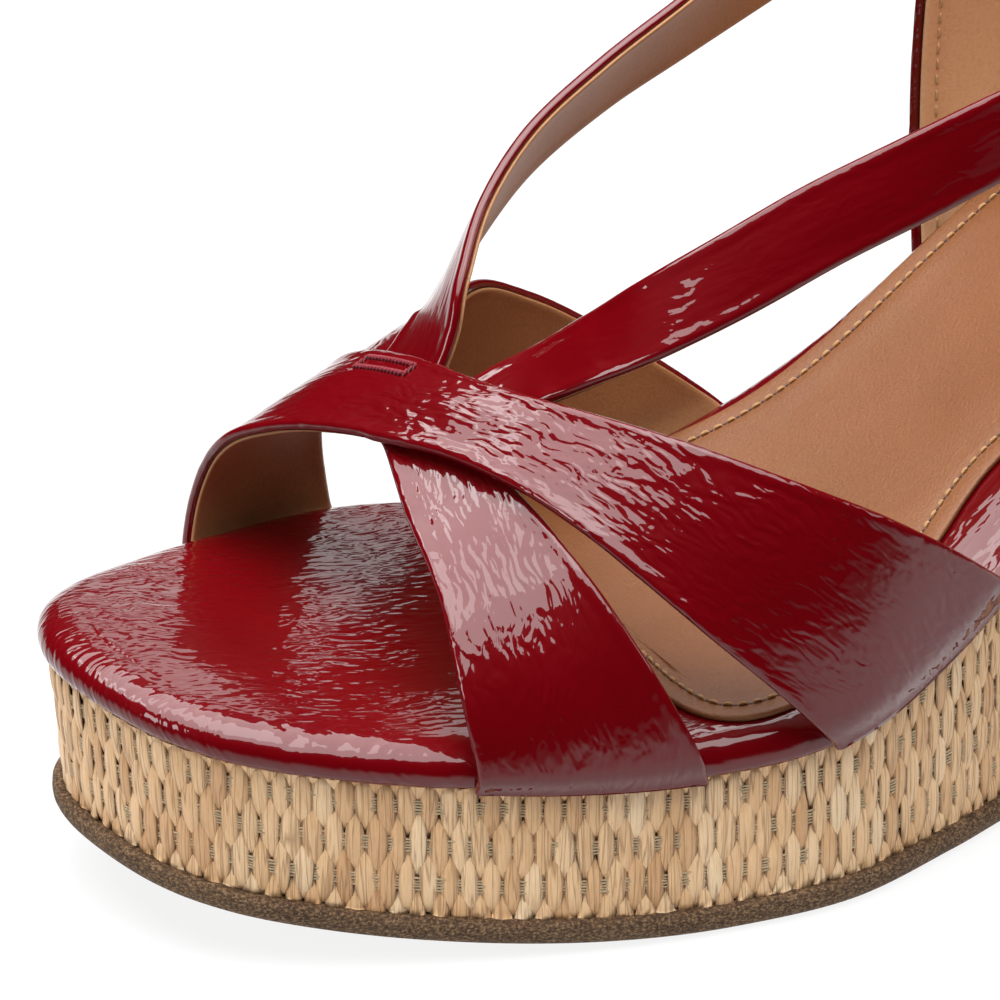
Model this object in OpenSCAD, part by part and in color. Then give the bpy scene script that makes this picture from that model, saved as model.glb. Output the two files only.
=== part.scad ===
// Wedge sandal, left foot: crossing toe straps, instep straps, closed heel
// with a zip, covered footbed, woven band round a wedge, thin outsole.
// +Z up, toe towards -Y, outer (lateral) side of the foot +X.

/* [Sole] */
// Length of the sole, toe tip to heel tip
sole_length = 240; // [225:1:260]
// Width of the sole across the ball, as a factor of the drawn outline
width_factor = 1; // [0.94:0.01:1.06]
// Height of the woven band's top edge under the ball
platform_height = 23.2; // [21:0.1:27]
// Height of the woven band's top edge at the heel
heel_height = 77.5; // [66:0.5:86]
// How far the toe tip lifts off the floor
toe_spring = 9.4; // [6:0.2:11]
// Thickness of the outsole
outsole_thickness = 3.6; // [2.8:0.1:4.5]
// Thickness of the woven band
band_thickness = 1.6; // [1.2:0.1:2]

/* [Footbed] */
// Thickness of the insole board
board_thickness = 2.6; // [2.4:0.1:3]
// Height of the covered footbed above the woven band
footbed_height = 5.8; // [5.4:0.1:6.6]
// Thickness of the red cover over the footbed
cover_thickness = 0.9; // [0.7:0.1:1.1]
// Thickness of the tan sock lining
sock_thickness = 0.9; // [0.7:0.1:1.2]

/* [Straps] */
// Thickness of the outer leather of a strap
leather_thickness = 1; // [0.8:0.05:1.05]
// Thickness of the lining of a strap
lining_thickness = 0.7; // [0.5:0.05:0.75]
// Width of the inner (medial) instep strap
strap_c_width = 14; // [11:0.5:15]
// Width of the outer (lateral) instep strap
strap_d_width = 11.5; // [10:0.5:13]

/* [Heel] */
// Height of the closed heel's top line at its front corners
corner_height = 116; // [112:1:120]
// Height of the closed heel's top line at the back
back_height = 127; // [122:1:132]
// Length of the zip pull
pull_length = 15; // [12:0.5:17]

/* [Hidden] */

$fn = 48;
eps = 0.05;
sy = sole_length / 240;
sx = width_factor;
// the drafting origin is the toe tip; this moves it to the centre of the box
org = [5.3 * sx, 120 * sy + 2.98];

// ---------- small maths ----------
function sgn(v) = v < 0 ? -1 : 1;
function unit(v) = v / max(norm(v), 1e-9);
function cr(a, b, c, d, t) = 0.5 * (2 * b + (c - a) * t
  + (2 * a - 5 * b + 4 * c - d) * t * t + (3 * b - a - 3 * c + d) * t * t * t);
// smooth curve through the points, n steps a span
function closed(P, n) = let (m = len(P)) [for (i = [0:m-1], k = [0:n-1])
  cr(P[(i + m - 1) % m], P[i], P[(i + 1) % m], P[(i + 2) % m], k / n)];
function at(P, i) = i < 0 ? 2 * P[0] - P[1]
  : i >= len(P) ? 2 * P[len(P)-1] - P[len(P)-2] : P[i];
function curve(P, s) = let (m = len(P) - 1, i = min(floor(s * m), m - 1))
  cr(at(P, i-1), P[i], P[i+1], at(P, i+2), s * m - i);
// smooth value from a table of [place, value]
function span(T, y, i = 0) = i >= len(T) - 2 || y < T[i+1][0] ? i : span(T, y, i + 1);
function slope(T, i) = let (a = max(i - 1, 0), b = min(i + 1, len(T) - 1))
  (T[b][1] - T[a][1]) / (T[b][0] - T[a][0]);
function tab(T, v) = let (y = min(max(v, T[0][0]), T[len(T)-1][0]),
  i = span(T, y), h = T[i+1][0] - T[i][0], t = (y - T[i][0]) / h)
  (2*t*t*t - 3*t*t + 1) * T[i][1] + (t*t*t - 2*t*t + t) * h * slope(T, i)
  + (3*t*t - 2*t*t*t) * T[i+1][1] + (t*t*t - t*t) * h * slope(T, i + 1);

// ---------- sole outline: [y, lateral x, medial x] ----------
PLAN = [[3, 12.5, 14], [10, 22.5, 21.8], [22, 30.2, 28.5], [38, 37.2, 34.3],
  [55, 42.8, 36.4], [72, 46.2, 31.8], [90, 47, 28.2], [108, 41.8, 26.2],
  [126, 35.4, 25.4], [146, 32.8, 27.2], [168, 31.4, 28.4], [190, 30.4, 28.6],
  [210, 28.6, 27.2], [226, 23.4, 22.8], [236.5, 13.5, 13.2]];
TOE = [-3, 0];
HEEL = [0, 240];
NP = len(PLAN);
LOOP = [for (p = concat([TOE], [for (r = PLAN) [r[1], r[0]]], [HEEL],
  [for (i = [NP-1:-1:0]) [-PLAN[i][2], PLAN[i][0]]])) [p[0] * sx, p[1] * sy]];
ND = 4;
RING = closed(LOOP, ND);
NR = len(RING);
function outn(i) = let (d = unit(RING[(i + 1) % NR] - RING[(i + NR - 1) % NR])) [d[1], -d[0]];
function rim(i, d) = RING[i] - outn(i) * d;
// the outline at a loose place along the loop, and its normal
function loop_at(s) = let (m = len(LOOP), u = s < 0 ? s + m : s, i = floor(u))
  cr(LOOP[(i + m - 1) % m], LOOP[i % m], LOOP[(i + 1) % m], LOOP[(i + 2) % m], u - i);
function loop_n(s) = let (d = unit(loop_at(s + 0.02) - loop_at(s - 0.02))) [d[1], -d[0]];
XL = concat([[0, TOE[0]]], [for (r = PLAN) [r[0], r[1]]], [[240, 0]]);
XM = concat([[0, -TOE[0]]], [for (r = PLAN) [r[0], r[2]]], [[240, 0]]);
function xl(y) = tab(XL, y / sy) * sx;
function xm(y) = tab(XM, y / sy) * sx;

// ---------- heights ----------
RISE = [[-20, 0], [75, 0], [85, 0.8], [95, 3], [105, 6.4], [117, 11.8], [128, 17.8],
  [141, 25.3], [155, 33.3], [170, 40.8], [185, 46.4], [200, 49.8], [215, 51.8],
  [240, 54.3], [260, 55.5]];
function spring(y) = y < 75 * sy ? toe_spring * pow(1 - y / 75 / sy, 2) : 0;
function H(y) = platform_height + spring(y)
  + tab(RISE, y / sy) / 54.3 * (heel_height - platform_height);
YS = [for (i = [0:60]) (-4 + 248 * i / 60) * sy];

// a slab of the sole: the outline, inset, between two heights
module outline2d(d) { polygon([for (i = [0:NR-1]) rim(i, d)]); }
module side_slice(lo, hi) {
  // lo and hi are lists of heights over YS
  rotate([90, 0, 90]) translate([0, 0, -70]) linear_extrude(140)
    polygon(concat([for (i = [0:60]) [YS[i], lo[i]]], [for (i = [60:-1:0]) [YS[i], hi[i]]]));
}
module place() { translate([-org[0], -org[1], 0]) children(); }
FLOORZ = [for (y = YS) spring(y)];
OUTZ = [for (y = YS) spring(y) + outsole_thickness];
TOPZ = [for (y = YS) H(y)];
function up(d) = [for (z = TOPZ) z + d];

module outsole() color([0.36, 0.30, 0.25]) place()
  intersection() {
    linear_extrude(60) outline2d(-0.3);
    side_slice(FLOORZ, OUTZ);
  }

module wedge_core() color([0.72, 0.55, 0.38]) place()
  intersection() {
    linear_extrude(120) outline2d(1 + band_thickness + eps);
    side_slice([for (z = OUTZ) z + 0.02], up(-0.02));
  }

module raffia_band() color([0.84, 0.72, 0.54]) place()
  intersection() {
    linear_extrude(120) difference() { outline2d(0.8); outline2d(0.8 + band_thickness); }
    side_slice([for (z = OUTZ) z + 0.02], up(-0.02));
  }

// ---------- footbed ----------
module shank_form(w, l0, l1, z0, z1)
  intersection() {
    translate([-w / 2 + 1, l0 * sy, 0]) cube([w, (l1 - l0) * sy, 120]);
    side_slice(up(z0), up(z1));
  }
module insole_board() color([0.55, 0.45, 0.35]) place()
  difference() {
    intersection() {
      linear_extrude(120) outline2d(2.4);
      side_slice(up(0), up(board_thickness));
    }
    shank_form(13, 95, 186, 0.5, 1.8);
  }
module shank() color([0.7, 0.7, 0.72]) place() shank_form(12.8, 95.2, 185.8, 0.55, 1.75);

FOAM_TOP = footbed_height - cover_thickness - eps;
module cushion_area(d) translate([0, 0, -1]) linear_extrude(140) offset_plan(d);
module offset_plan(d) translate([0.5, 208 * sy]) circle(r = 17 - d, $fn = 64);
module footbed_foam() color([0.93, 0.90, 0.80]) place()
  difference() {
    intersection() {
      linear_extrude(120) foam_plan();
      side_slice(up(board_thickness + eps), up(FOAM_TOP));
    }
    intersection() { cushion_area(0); side_slice(up(board_thickness + 0.5), up(FOAM_TOP + 3)); }
  }
module foam_plan() polygon([for (i = [0:NR-1]) rim(i, roll(i) + 0.4)]);
module heel_cushion() color([0.55, 0.75, 0.80]) place()
  intersection() { cushion_area(0.1); side_slice(up(board_thickness + 0.55), up(FOAM_TOP)); }

// width of the rolled red edge, lateral and medial
ROLL_L = [[0, 5], [50, 5], [70, 4.4], [80, 4], [95, 6.5], [112, 12], [126, 13], [145, 9], [165, 5], [240, 4.5]];
ROLL_M = [[0, 5], [70, 4.5], [100, 4], [120, 4], [140, 3.2], [165, 4], [240, 4.5]];
function roll(i) = i <= NR / 2 ? tab(ROLL_L, RING[i][1] / sy) : tab(ROLL_M, RING[i][1] / sy);
function roll_ring(f, g, in) = [for (i = [0:NR-1]) let (p = rim(i, in + (roll(i) - in) * f)) [p[0], p[1], H(p[1]) + g]];
// closed skin from a list of rings, outside upwards then inside downwards
function ring_faces(k) = [for (r = [0:k-1], i = [0:NR-1]) let (j = (i + 1) % NR,
  a = r * NR + i, b = r * NR + j, c = ((r + 1) % k) * NR + j, d = ((r + 1) % k) * NR + i)
  each [[a, b, c], [a, c, d]]];
PHI = [0, 18, 36, 54, 72, 90];
// the two caps join lateral and medial points of the same station
function cap(base, flip) = let (h = NR / 2) [for (i = [0:h-1]) let (a = base + i, b = base + i + 1,
  c = base + (NR - i - 1) % NR, d = base + (NR - i) % NR)
  each i == 0 ? [flip ? [a, c, b] : [a, b, c]]
    : i == h - 1 ? [flip ? [a, d, b] : [a, b, d]]
    : flip ? [[a, c, b], [a, d, c]] : [[a, b, c], [a, c, d]]];
module footbed_cover() color([0.60, 0.03, 0.08]) place() {
  hh = footbed_height; t = cover_thickness;
  outer = concat([roll_ring(0, 0.03, 0.2)],
    [for (p = PHI) roll_ring(1 - cos(p), 1.6 + (hh - 1.6) * sin(p), 0)]);
  inner = concat([for (k = [5:-1:0]) let (p = PHI[k])
    roll_ring(1 - cos(p), 1.6 + (hh - t - 1.6) * sin(p), t)], [roll_ring(0, 0.03, t + 0.2)]);
  pts = concat([for (r = outer) each r], [for (r = inner) each r]);
  n = len(outer); m = len(inner);
  sides = [for (r = [0:n-2], i = [0:NR-1]) let (j = (i + 1) % NR, a = r * NR + i, b = r * NR + j,
    c = (r + 1) * NR + j, d = (r + 1) * NR + i) each [[a, c, b], [a, d, c]]];
  ins = [for (r = [n:n+m-2], i = [0:NR-1]) let (j = (i + 1) % NR, a = r * NR + i, b = r * NR + j,
    c = (r + 1) * NR + j, d = (r + 1) * NR + i) each [[a, c, b], [a, d, c]]];
  foot = [for (i = [0:NR-1]) let (j = (i + 1) % NR, a = (n + m - 1) * NR + i, b = (n + m - 1) * NR + j)
    each [[a, j, b], [a, i, j]]];
  polyhedron(pts, concat(sides, cap((n - 1) * NR, true), cap(n * NR, false), ins, foot), convexity = 8);
}

// ---------- sock lining ----------
SOCK = [[-31.5, 63.5], [-21, 64], [-8, 65.6], [6, 67.6], [20, 68.4], [32, 68.6], [40, 71], [43.6, 77],
  [42.8, 87], [36.6, 99], [28.4, 112], [22.6, 123], [21.4, 135], [23.6, 148], [25.6, 165], [25.6, 185],
  [24.4, 205], [20.4, 222], [12, 233], [0, 236], [-12, 233], [-19.6, 222], [-23, 205], [-24.4, 185],
  [-24.4, 165], [-24.6, 150], [-23.6, 136], [-21.8, 122], [-21.6, 111], [-23.4, 100], [-27, 84], [-31, 71]];
SOCK_RING = [for (p = closed(SOCK, 3)) [p[0] * sx, p[1] * sy]];
NS = len(SOCK_RING);
function sock_in(i, d) = let (t = unit(SOCK_RING[(i + 1) % NS] - SOCK_RING[(i + NS - 1) % NS]))
  SOCK_RING[i] + [-t[1], t[0]] * d;
SOCK_TOP = footbed_height + 0.1 + sock_thickness;
module sock_lining() color([0.76, 0.53, 0.33]) place()
  intersection() {
    linear_extrude(140) polygon(SOCK_RING);
    side_slice(up(footbed_height + 0.1), up(SOCK_TOP));
  }
// one line of thread inside the edge of the sock lining
function thread_grid(z) = [for (k = [0:NS-1]) [for (d = [2.8, 3.4]) let (p = sock_in(k, d)) [p[0], p[1], H(p[1]) + z]]];
module sock_stitching() color([0.90, 0.78, 0.58]) place()
  sheet(thread_grid(SOCK_TOP + 0.35), thread_grid(SOCK_TOP + 0.1));

// ---------- a bent sheet between two grids of points ----------
function q(a, b, c, d) = [[a, b, c], [a, c, d]];
module sheet(A, B) {
  nu = len(A); nv = len(A[0]); k = nu * nv;
  pts = concat([for (r = A) each r], [for (r = B) each r]);
  fa = [for (i = [0:nu-2], j = [0:nv-2]) each q(i*nv+j, (i+1)*nv+j, (i+1)*nv+j+1, i*nv+j+1)];
  fb = [for (i = [0:nu-2], j = [0:nv-2]) each q(k+i*nv+j, k+i*nv+j+1, k+(i+1)*nv+j+1, k+(i+1)*nv+j)];
  s1 = [for (i = [0:nu-2]) each q(i*nv, k+i*nv, k+(i+1)*nv, (i+1)*nv)];
  s2 = [for (i = [0:nu-2]) each q(i*nv+nv-1, (i+1)*nv+nv-1, k+(i+1)*nv+nv-1, k+i*nv+nv-1)];
  e1 = [for (j = [0:nv-2]) each q(j, j+1, k+j+1, k+j)];
  e2 = [for (j = [0:nv-2]) each q((nu-1)*nv+j, k+(nu-1)*nv+j, k+(nu-1)*nv+j+1, (nu-1)*nv+j+1)];
  polyhedron(pts, concat(fa, fb, s1, s2, e1, e2), convexity = 8);
}

// ---------- forefoot: the foot form that the toe straps wrap ----------
// height of the form above the woven band's top edge, along the foot
FORM = [[0, 8], [20, 18], [40, 28], [60, 40], [80, 52.5], [100, 60], [120, 67], [140, 74]];
FORM_X = 2.3; FORM_Z = 2.07; FORM_SKEW = -5.4;
// a point on the form: th = 0 at the lateral edge, 180 at the medial edge
function form(y, th, off) = let (l = xl(y) + off, m = xm(y) + off, c = cos(th), s = max(sin(th), 0))
  [(l - m) / 2 + (l + m) / 2 * sgn(c) * pow(abs(c), 2 / FORM_X) + FORM_SKEW * sx * s * s, y,
   H(y) + (tab(FORM, y / sy) + off) * pow(s, 2 / FORM_Z)];
// front edge, rear edge and lift of the straps, by angle round the form
A_FRONT = [[0, 86.5], [25, 68.5], [50, 57], [75, 49], [100, 40.5], [125, 34.5], [150, 33], [180, 31.5]];
A_REAR = [[0, 118.5], [25, 97], [50, 75], [75, 60.5], [100, 53.5], [125, 52], [150, 53], [180, 56.5]];
A_LIFT = [[0, 2.3], [45, 3.9], [72, 4.05], [90, 3.9], [108, 3.7], [135, 2.8], [180, 2.3]];
B_FRONT = [[0, 38.5], [25, 38], [50, 40], [75, 43], [100, 48], [125, 53], [150, 62.5], [180, 77]];
B_REAR = [[0, 68.5], [25, 61], [50, 56], [75, 54.5], [100, 59], [125, 69], [150, 87], [180, 112]];
B_LIFT = [[0, 2.3], [40, 2.2], [55, 1.4], [70, -0.2], [90, -0.2], [108, -0.2], [122, 1.4], [136, 3.3], [155, 3], [180, 2.3]];
// extra lift of a strap's rear edge
FLAT = [[0, 0], [180, 0]];
B_REAR_LIFT = [[0, 0], [106, 0], [118, 1.6], [128, 1.8], [142, 0], [180, 0]];
TH = [for (i = [0:30]) 180 * i / 30];
function wrap(F, R, L, E, d, w0, w1, nw) = [for (th = TH) [for (k = [0:nw]) let (w = w0 + (w1 - w0) * k / nw)
  form(sy * (tab(F, th) * (1 - w) + tab(R, th) * w), th, tab(L, th) + tab(E, th) * w + d)]];
module toe_strap(F, R, L, E, d0, d1, m) sheet(wrap(F, R, L, E, d1, m, 1 - m, 4), wrap(F, R, L, E, d0, m, 1 - m, 4));

LT = leather_thickness; LN = lining_thickness;
module strap_a_outer() color([0.62, 0.03, 0.08]) place() toe_strap(A_FRONT, A_REAR, A_LIFT, FLAT, -LT, 0, 0);
module strap_a_lining() color([0.72, 0.50, 0.32]) place() toe_strap(A_FRONT, A_REAR, A_LIFT, FLAT, -LT - 0.03 - LN, -LT - 0.03, 0.03);
module strap_b_outer() color([0.62, 0.03, 0.08]) place() toe_strap(B_FRONT, B_REAR, B_LIFT, B_REAR_LIFT, -LT, 0, 0);
module strap_b_lining() color([0.72, 0.50, 0.32]) place() toe_strap(B_FRONT, B_REAR, B_LIFT, B_REAR_LIFT, -LT - 0.03 - LN, -LT - 0.03, 0.03);

// bar tack near the crossing: a small stitched box on strap A
function tack_grid(d) = [for (i = [0:6]) let (th = 93 + 14 * i / 6) [for (w = [0.74, 0.96])
    form(sy * (tab(A_FRONT, th) * (1 - w) + tab(A_REAR, th) * w), th, tab(A_LIFT, th) + d)]];
module bar_tack() color([0.50, 0.02, 0.06]) place() sheet(tack_grid(0.35), tack_grid(0.03));

// ---------- closed heel ----------
// places along the outline loop: 16 is the heel tip, lateral side below it
FRONT_S = 9.75;
TOPLINE = [[120, corner_height - 1], [141, corner_height], [165, corner_height + 2], [195, corner_height + 6],
  [225, back_height - 2], [240, back_height], [250, back_height]];
LEAN = 5; SWELL = 2;
function side_k(x) = min(1, pow(x / 20, 2));
// a point of the heel wall: s along the loop, v up the wall, off outwards
function wall(s, v, off) = let (p = loop_at(s), n = loop_n(s), k = side_k(p[0]),
  o = off + k * (SWELL * sin(180 * v) - LEAN * v * v), q = p + n * o,
  z0 = H(p[1]) + 0.15, z1 = tab(TOPLINE, p[1] / sy)) [q[0], q[1], z0 + (z1 - z0) * v];
function wall_grid(s0, s1, off, v0, v1, ns, nv) = [for (i = [0:ns]) [for (j = [0:nv])
  wall(s0 + (s1 - s0) * i / ns, v0 + (v1 - v0) * j / nv, off)]];
module wall_sheet(s0, s1, o0, o1, v0, v1, ns = 20, nv = 6)
  sheet(wall_grid(s0, s1, o0, v0, v1, ns, nv), wall_grid(s0, s1, o1, v0, v1, ns, nv));
O_LIN = 0.35; O_STIF = 1.2; O_OUT = 2.05; O_TOP = 3.15;
ZIP_S = 0.34;      // edge of the quarters beside the zip, along the loop
STIF_S = 0.86;     // edge of the stiffeners beside the tapes
function sl(d) = 16 - d;
function sm(d) = 16 + d;
FS_L = FRONT_S; FS_M = 32 - FRONT_S;
module quarter_lateral_outer() color([0.62, 0.03, 0.08]) place() wall_sheet(FS_L, sl(ZIP_S), O_OUT, O_TOP, 0, 1);
module quarter_medial_outer() color([0.62, 0.03, 0.08]) place() wall_sheet(sm(ZIP_S), FS_M, O_OUT, O_TOP, 0, 1);
module quarter_lateral_lining() color([0.72, 0.50, 0.32]) place() wall_sheet(FS_L + 0.05, sl(ZIP_S + 0.03), O_LIN, O_STIF - 0.05, 0.005, 0.99);
module quarter_medial_lining() color([0.72, 0.50, 0.32]) place() wall_sheet(sm(ZIP_S + 0.03), FS_M - 0.05, O_LIN, O_STIF - 0.05, 0.005, 0.99);
module counter_stiffener_lateral() color([0.80, 0.78, 0.72]) place() wall_sheet(FS_L + 0.4, sl(STIF_S), O_STIF + 0.12, O_OUT - 0.2, 0.03, 0.8);
module counter_stiffener_medial() color([0.80, 0.78, 0.72]) place() wall_sheet(sm(STIF_S), FS_M - 0.4, O_STIF + 0.12, O_OUT - 0.2, 0.03, 0.8);
// one row of thread inside the top line and down the front edge, each side
module stitch_row(a, b) {
  wall_sheet(a, b, O_TOP + 0.14, O_TOP + 0.38, 0.955, 0.967, 20, 1);
}
module quarter_stitching() color([0.45, 0.02, 0.05]) place() {
  stitch_row(FS_L + 0.1, sl(ZIP_S + 0.12));
  stitch_row(sm(ZIP_S + 0.12), FS_M - 0.1);
  wall_sheet(FS_L + 0.1, FS_L + 0.14, O_TOP + 0.14, O_TOP + 0.38, 0.04, 0.5, 1, 8);
  wall_sheet(FS_M - 0.14, FS_M - 0.1, O_TOP + 0.14, O_TOP + 0.38, 0.04, 0.5, 1, 8);
}

// ---------- instep straps ----------
// [centre, direction across the strap] from under the crossing to the heel
C_PATH = [[[-12.2, 58, 65.2], [0.86, 0.1, 0.46]], [[-14.1, 61.2, 69], [0.7, 0.02, 0.7]],
  [[-20, 68.8, 75], [0.62, -0.15, 0.77]], [[-25, 79, 81.3], [0.58, -0.22, 0.78]],
  [[-27.7, 91.5, 87], [0.55, -0.25, 0.8]], [[-29, 104, 92], [0.48, -0.28, 0.83]],
  [[-30, 117, 97.5], [0.38, -0.36, 0.85]], [[-30.5, 130, 103.5], [0.24, -0.42, 0.87]]];
D_PATH = [[[8.9, 63.9, 67.2], [-0.95, 0.2, 0.1]], [[14.2, 68.6, 72.2], [-0.94, 0.25, 0.2]],
  [[19.4, 74.4, 77.4], [-0.9, 0.1, 0.42]], [[23.2, 84.6, 83.2], [-0.8, -0.1, 0.59]],
  [[25.7, 96, 88.8], [-0.68, -0.2, 0.7]], [[28.2, 107.5, 93.5], [-0.5, -0.27, 0.82]],
  [[31, 119, 98.5], [-0.3, -0.35, 0.88]], [[33.4, 130, 103], [-0.14, -0.42, 0.9]]];
MID_LIFT = 0.91;   // the instep straps lie between the two crossing straps
function sized(P) = [for (p = P) [[p[0][0] * sx, p[0][1] * sy, p[0][2]], p[1]]];
// an end tucked under the crossing: on the form, flat against it
function tuck(y, th) = [form(y * sy, th, MID_LIFT), unit(form(y * sy, th - 4, MID_LIFT) - form(y * sy, th + 4, MID_LIFT)) * (th > 90 ? 1 : -1)];
// an end on the heel wall, flat against it
function wall_end(s, v) = [wall(s, v, O_TOP + 1.5), unit(wall(s, v + 0.06, O_TOP) - wall(s, v - 0.06, O_TOP))];
C_ALL = concat([tuck(45, 99), tuck(49.5, 99.5), tuck(54, 100)], sized(C_PATH),
  [wall_end(32 - 9.95, 0.84), wall_end(32 - 10.6, 0.86)]);
D_ALL = concat([tuck(48, 82), tuck(53.5, 82), tuck(58.6, 82)], sized(D_PATH),
  [wall_end(9.95, 0.84), wall_end(10.6, 0.86)]);
function crown(s) = 0.5 - 0.35 * min(max((s - 0.75) / 0.12, 0), 1);
function ribbon(P, s, a, n0, side) = let (c = [for (p = P) p[0]], w = [for (p = P) p[1]],
  x = curve(c, s), t = unit(curve(c, min(s + 0.01, 1)) - curve(c, max(s - 0.01, 0))),
  wd = unit(curve(w, s)), n = unit(cross(wd, t)) * side, w2 = unit(cross(n, t)) * sgn(cross(n, t) * wd))
  x + w2 * a + n * n0;
function ribbon_grid(P, wd, n0, side, m) = [for (i = [0:44]) [for (j = [-2:2])
  ribbon(P, m + (1 - 2 * m) * i / 44, j / 2 * wd / 2, n0 - crown(i / 44) * pow(j / 2, 2), side)]];
module instep(P, wd, n0, n1, side, m) sheet(
  side > 0 ? ribbon_grid(P, wd, n0, side, m) : ribbon_grid(P, wd, n1, side, m),
  side > 0 ? ribbon_grid(P, wd, n1, side, m) : ribbon_grid(P, wd, n0, side, m));
module strap_c_outer() color([0.62, 0.03, 0.08]) place() instep(C_ALL, strap_c_width, -0.1, LT - 0.1, 1, 0);
module strap_c_lining() color([0.72, 0.50, 0.32]) place() instep(C_ALL, strap_c_width - 1.2, -0.13 - LN, -0.13, 1, 0.004);
module strap_d_outer() color([0.62, 0.03, 0.08]) place() instep(D_ALL, strap_d_width, -0.1, LT - 0.1, -1, 0);
module strap_d_lining() color([0.72, 0.50, 0.32]) place() instep(D_ALL, strap_d_width - 1.2, -0.13 - LN, -0.13, -1, 0.004);

// ---------- heel zip: runs straight up the back, off = distance out from the rim ----------
TAPE_0 = 1.3; TAPE_1 = 1.9;          // tapes
COIL_0 = 0.35; COIL_1 = 1.1;        // teeth on the inner face
YB = 240 * sy;                       // rim at the back
ZB = H(240 * sy) + 0.15;
ZT = back_height;
TOOTH_P = 1.6;                       // tooth pitch
module tape(a, b) wall_sheet(a, b, TAPE_0, TAPE_1, 0.02, 0.985, 6, 2);
module zip_tape_lateral() color([0.45, 0.02, 0.06]) place() tape(sl(0.78), sl(0.055));
module zip_tape_medial() color([0.45, 0.02, 0.06]) place() tape(sm(0.055), sm(0.78));
// teeth: a thin rail with one small block for each tooth
module teeth(side) {
  n = floor((ZT - ZB - 9) / TOOTH_P);
  for (k = [0:n-1]) translate([side > 0 ? 0.62 : -2.0, YB + COIL_0, ZB + 4.5 + k * TOOTH_P])
    cube([1.38, COIL_1 - COIL_0, 1.0]);
  translate([side > 0 ? 1.25 : -2.0, YB + COIL_0 + 0.05, ZB + 4.5])
    cube([0.75, COIL_1 - COIL_0 - 0.05, n * TOOTH_P - 0.6]);
}
module zip_teeth_lateral() color([0.75, 0.62, 0.35]) place() teeth(1);
module zip_teeth_medial() color([0.75, 0.62, 0.35]) place() teeth(-1);
module zip_top_stops() color([0.75, 0.62, 0.35]) place()
  for (s = [-1, 1]) translate([s > 0 ? 0.62 : -2.0, YB + COIL_0, ZT - 3.2]) cube([1.38, COIL_1 - COIL_0, 2]);
module zip_bottom_stop() color([0.75, 0.62, 0.35]) place()
  translate([-2.2, YB + COIL_0, ZB + 1.8]) cube([4.4, COIL_1 - COIL_0, 2.2]);
// leather guard behind the zip, touching the lining only at its two sides
function guard_off(k) = O_LIN - 0.04 - 2.4 * pow(cos(k * 90), 2);
function guard_grid(d) = [for (i = [-6:6]) [for (j = [0:3]) wall(16 + i / 6 * 0.9, 0.15 + 0.82 * j / 3, guard_off(i / 6) - d)]];
module zip_guard() color([0.72, 0.50, 0.32]) place() sheet(guard_grid(0.8), guard_grid(0));

// slider at the top of the zip, its bridge and the pull that hangs from it
SZ1 = ZT - 5.6;   // top of the slider
SZ0 = SZ1 - 9;    // bottom of the slider
BAR_Y = YB + 5.0; // hinge bar of the pull
BAR_Z = SZ1 - 2.4;
BAR_R = 0.6;
module slider_plate(y0, y1, z0, z1, w0, w1) hull() {
  translate([-w0 / 2, y0, z0]) cube([w0, y1 - y0, 0.4]);
  translate([-w1 / 2, y0, z1 - 0.4]) cube([w1, y1 - y0, 0.4]);
}
module zip_slider() color([0.80, 0.66, 0.38]) place() {
  difference() {
    union() {
      translate([-3.4, YB + 2.25, SZ0]) cube([6.8, 1.1, SZ1 - SZ0]);
      translate([-3.4, YB - 0.95, SZ0]) cube([6.8, 1.0, SZ1 - SZ0]);
      for (s = [-1, 1]) translate([s > 0 ? 2.5 : -3.4, YB + 0.0, SZ0]) cube([0.9, 0.9, SZ1 - SZ0]);
      translate([-0.4, YB - 0.2, SZ1 - 2.4]) cube([0.8, 2.6, 2.4]);
      for (s = [-1, 1]) translate([s * 2.4 - 0.4, YB + 3.2, BAR_Z - 1.1]) cube([0.8, BAR_Y - YB - 3.2, 2.2]);
      for (s = [-1, 1]) translate([s * 2.4 - 0.4, BAR_Y, BAR_Z]) rotate([0, 90, 0]) cylinder(r = 1.1, h = 0.8);
      translate([-2.6, BAR_Y, BAR_Z]) rotate([0, 90, 0]) cylinder(r = BAR_R, h = 5.2);
    }
  }
}
module zip_pull() color([0.80, 0.66, 0.38]) place()
  difference() {
    union() {
      translate([-1.7, BAR_Y, BAR_Z]) rotate([0, 90, 0]) cylinder(r = 1.25, h = 3.4);
      translate([-1.5, BAR_Y - 0.5, BAR_Z - 4]) cube([3, 1, 3.4]);
      translate([-2.4, BAR_Y - 0.5, BAR_Z - pull_length + 2.4]) cube([4.8, 1, pull_length - 6]);
      translate([0, BAR_Y + 0.5, BAR_Z - pull_length + 2.4]) rotate([90, 0, 0]) cylinder(r = 2.4, h = 1);
    }
    translate([-3, BAR_Y, BAR_Z]) rotate([0, 90, 0]) cylinder(r = BAR_R + 0.07, h = 6);
    translate([0, BAR_Y + 2, BAR_Z - pull_length + 3]) rotate([90, 0, 0]) cylinder(r = 1.1, h = 4);
  }

outsole();
wedge_core();
raffia_band();
insole_board();
shank();
footbed_foam();
heel_cushion();
footbed_cover();
sock_lining();
sock_stitching();
strap_a_outer();
strap_a_lining();
strap_b_outer();
strap_b_lining();
strap_c_outer();
strap_c_lining();
strap_d_outer();
strap_d_lining();
bar_tack();
quarter_lateral_outer();
quarter_medial_outer();
counter_stiffener_lateral();
counter_stiffener_medial();
quarter_lateral_lining();
quarter_medial_lining();
quarter_stitching();
zip_tape_lateral();
zip_tape_medial();
zip_teeth_lateral();
zip_teeth_medial();
zip_top_stops();
zip_bottom_stop();
zip_guard();
zip_slider();
zip_pull();
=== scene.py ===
# Wedge sandal, left foot: the looks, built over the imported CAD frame.
import math

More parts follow.
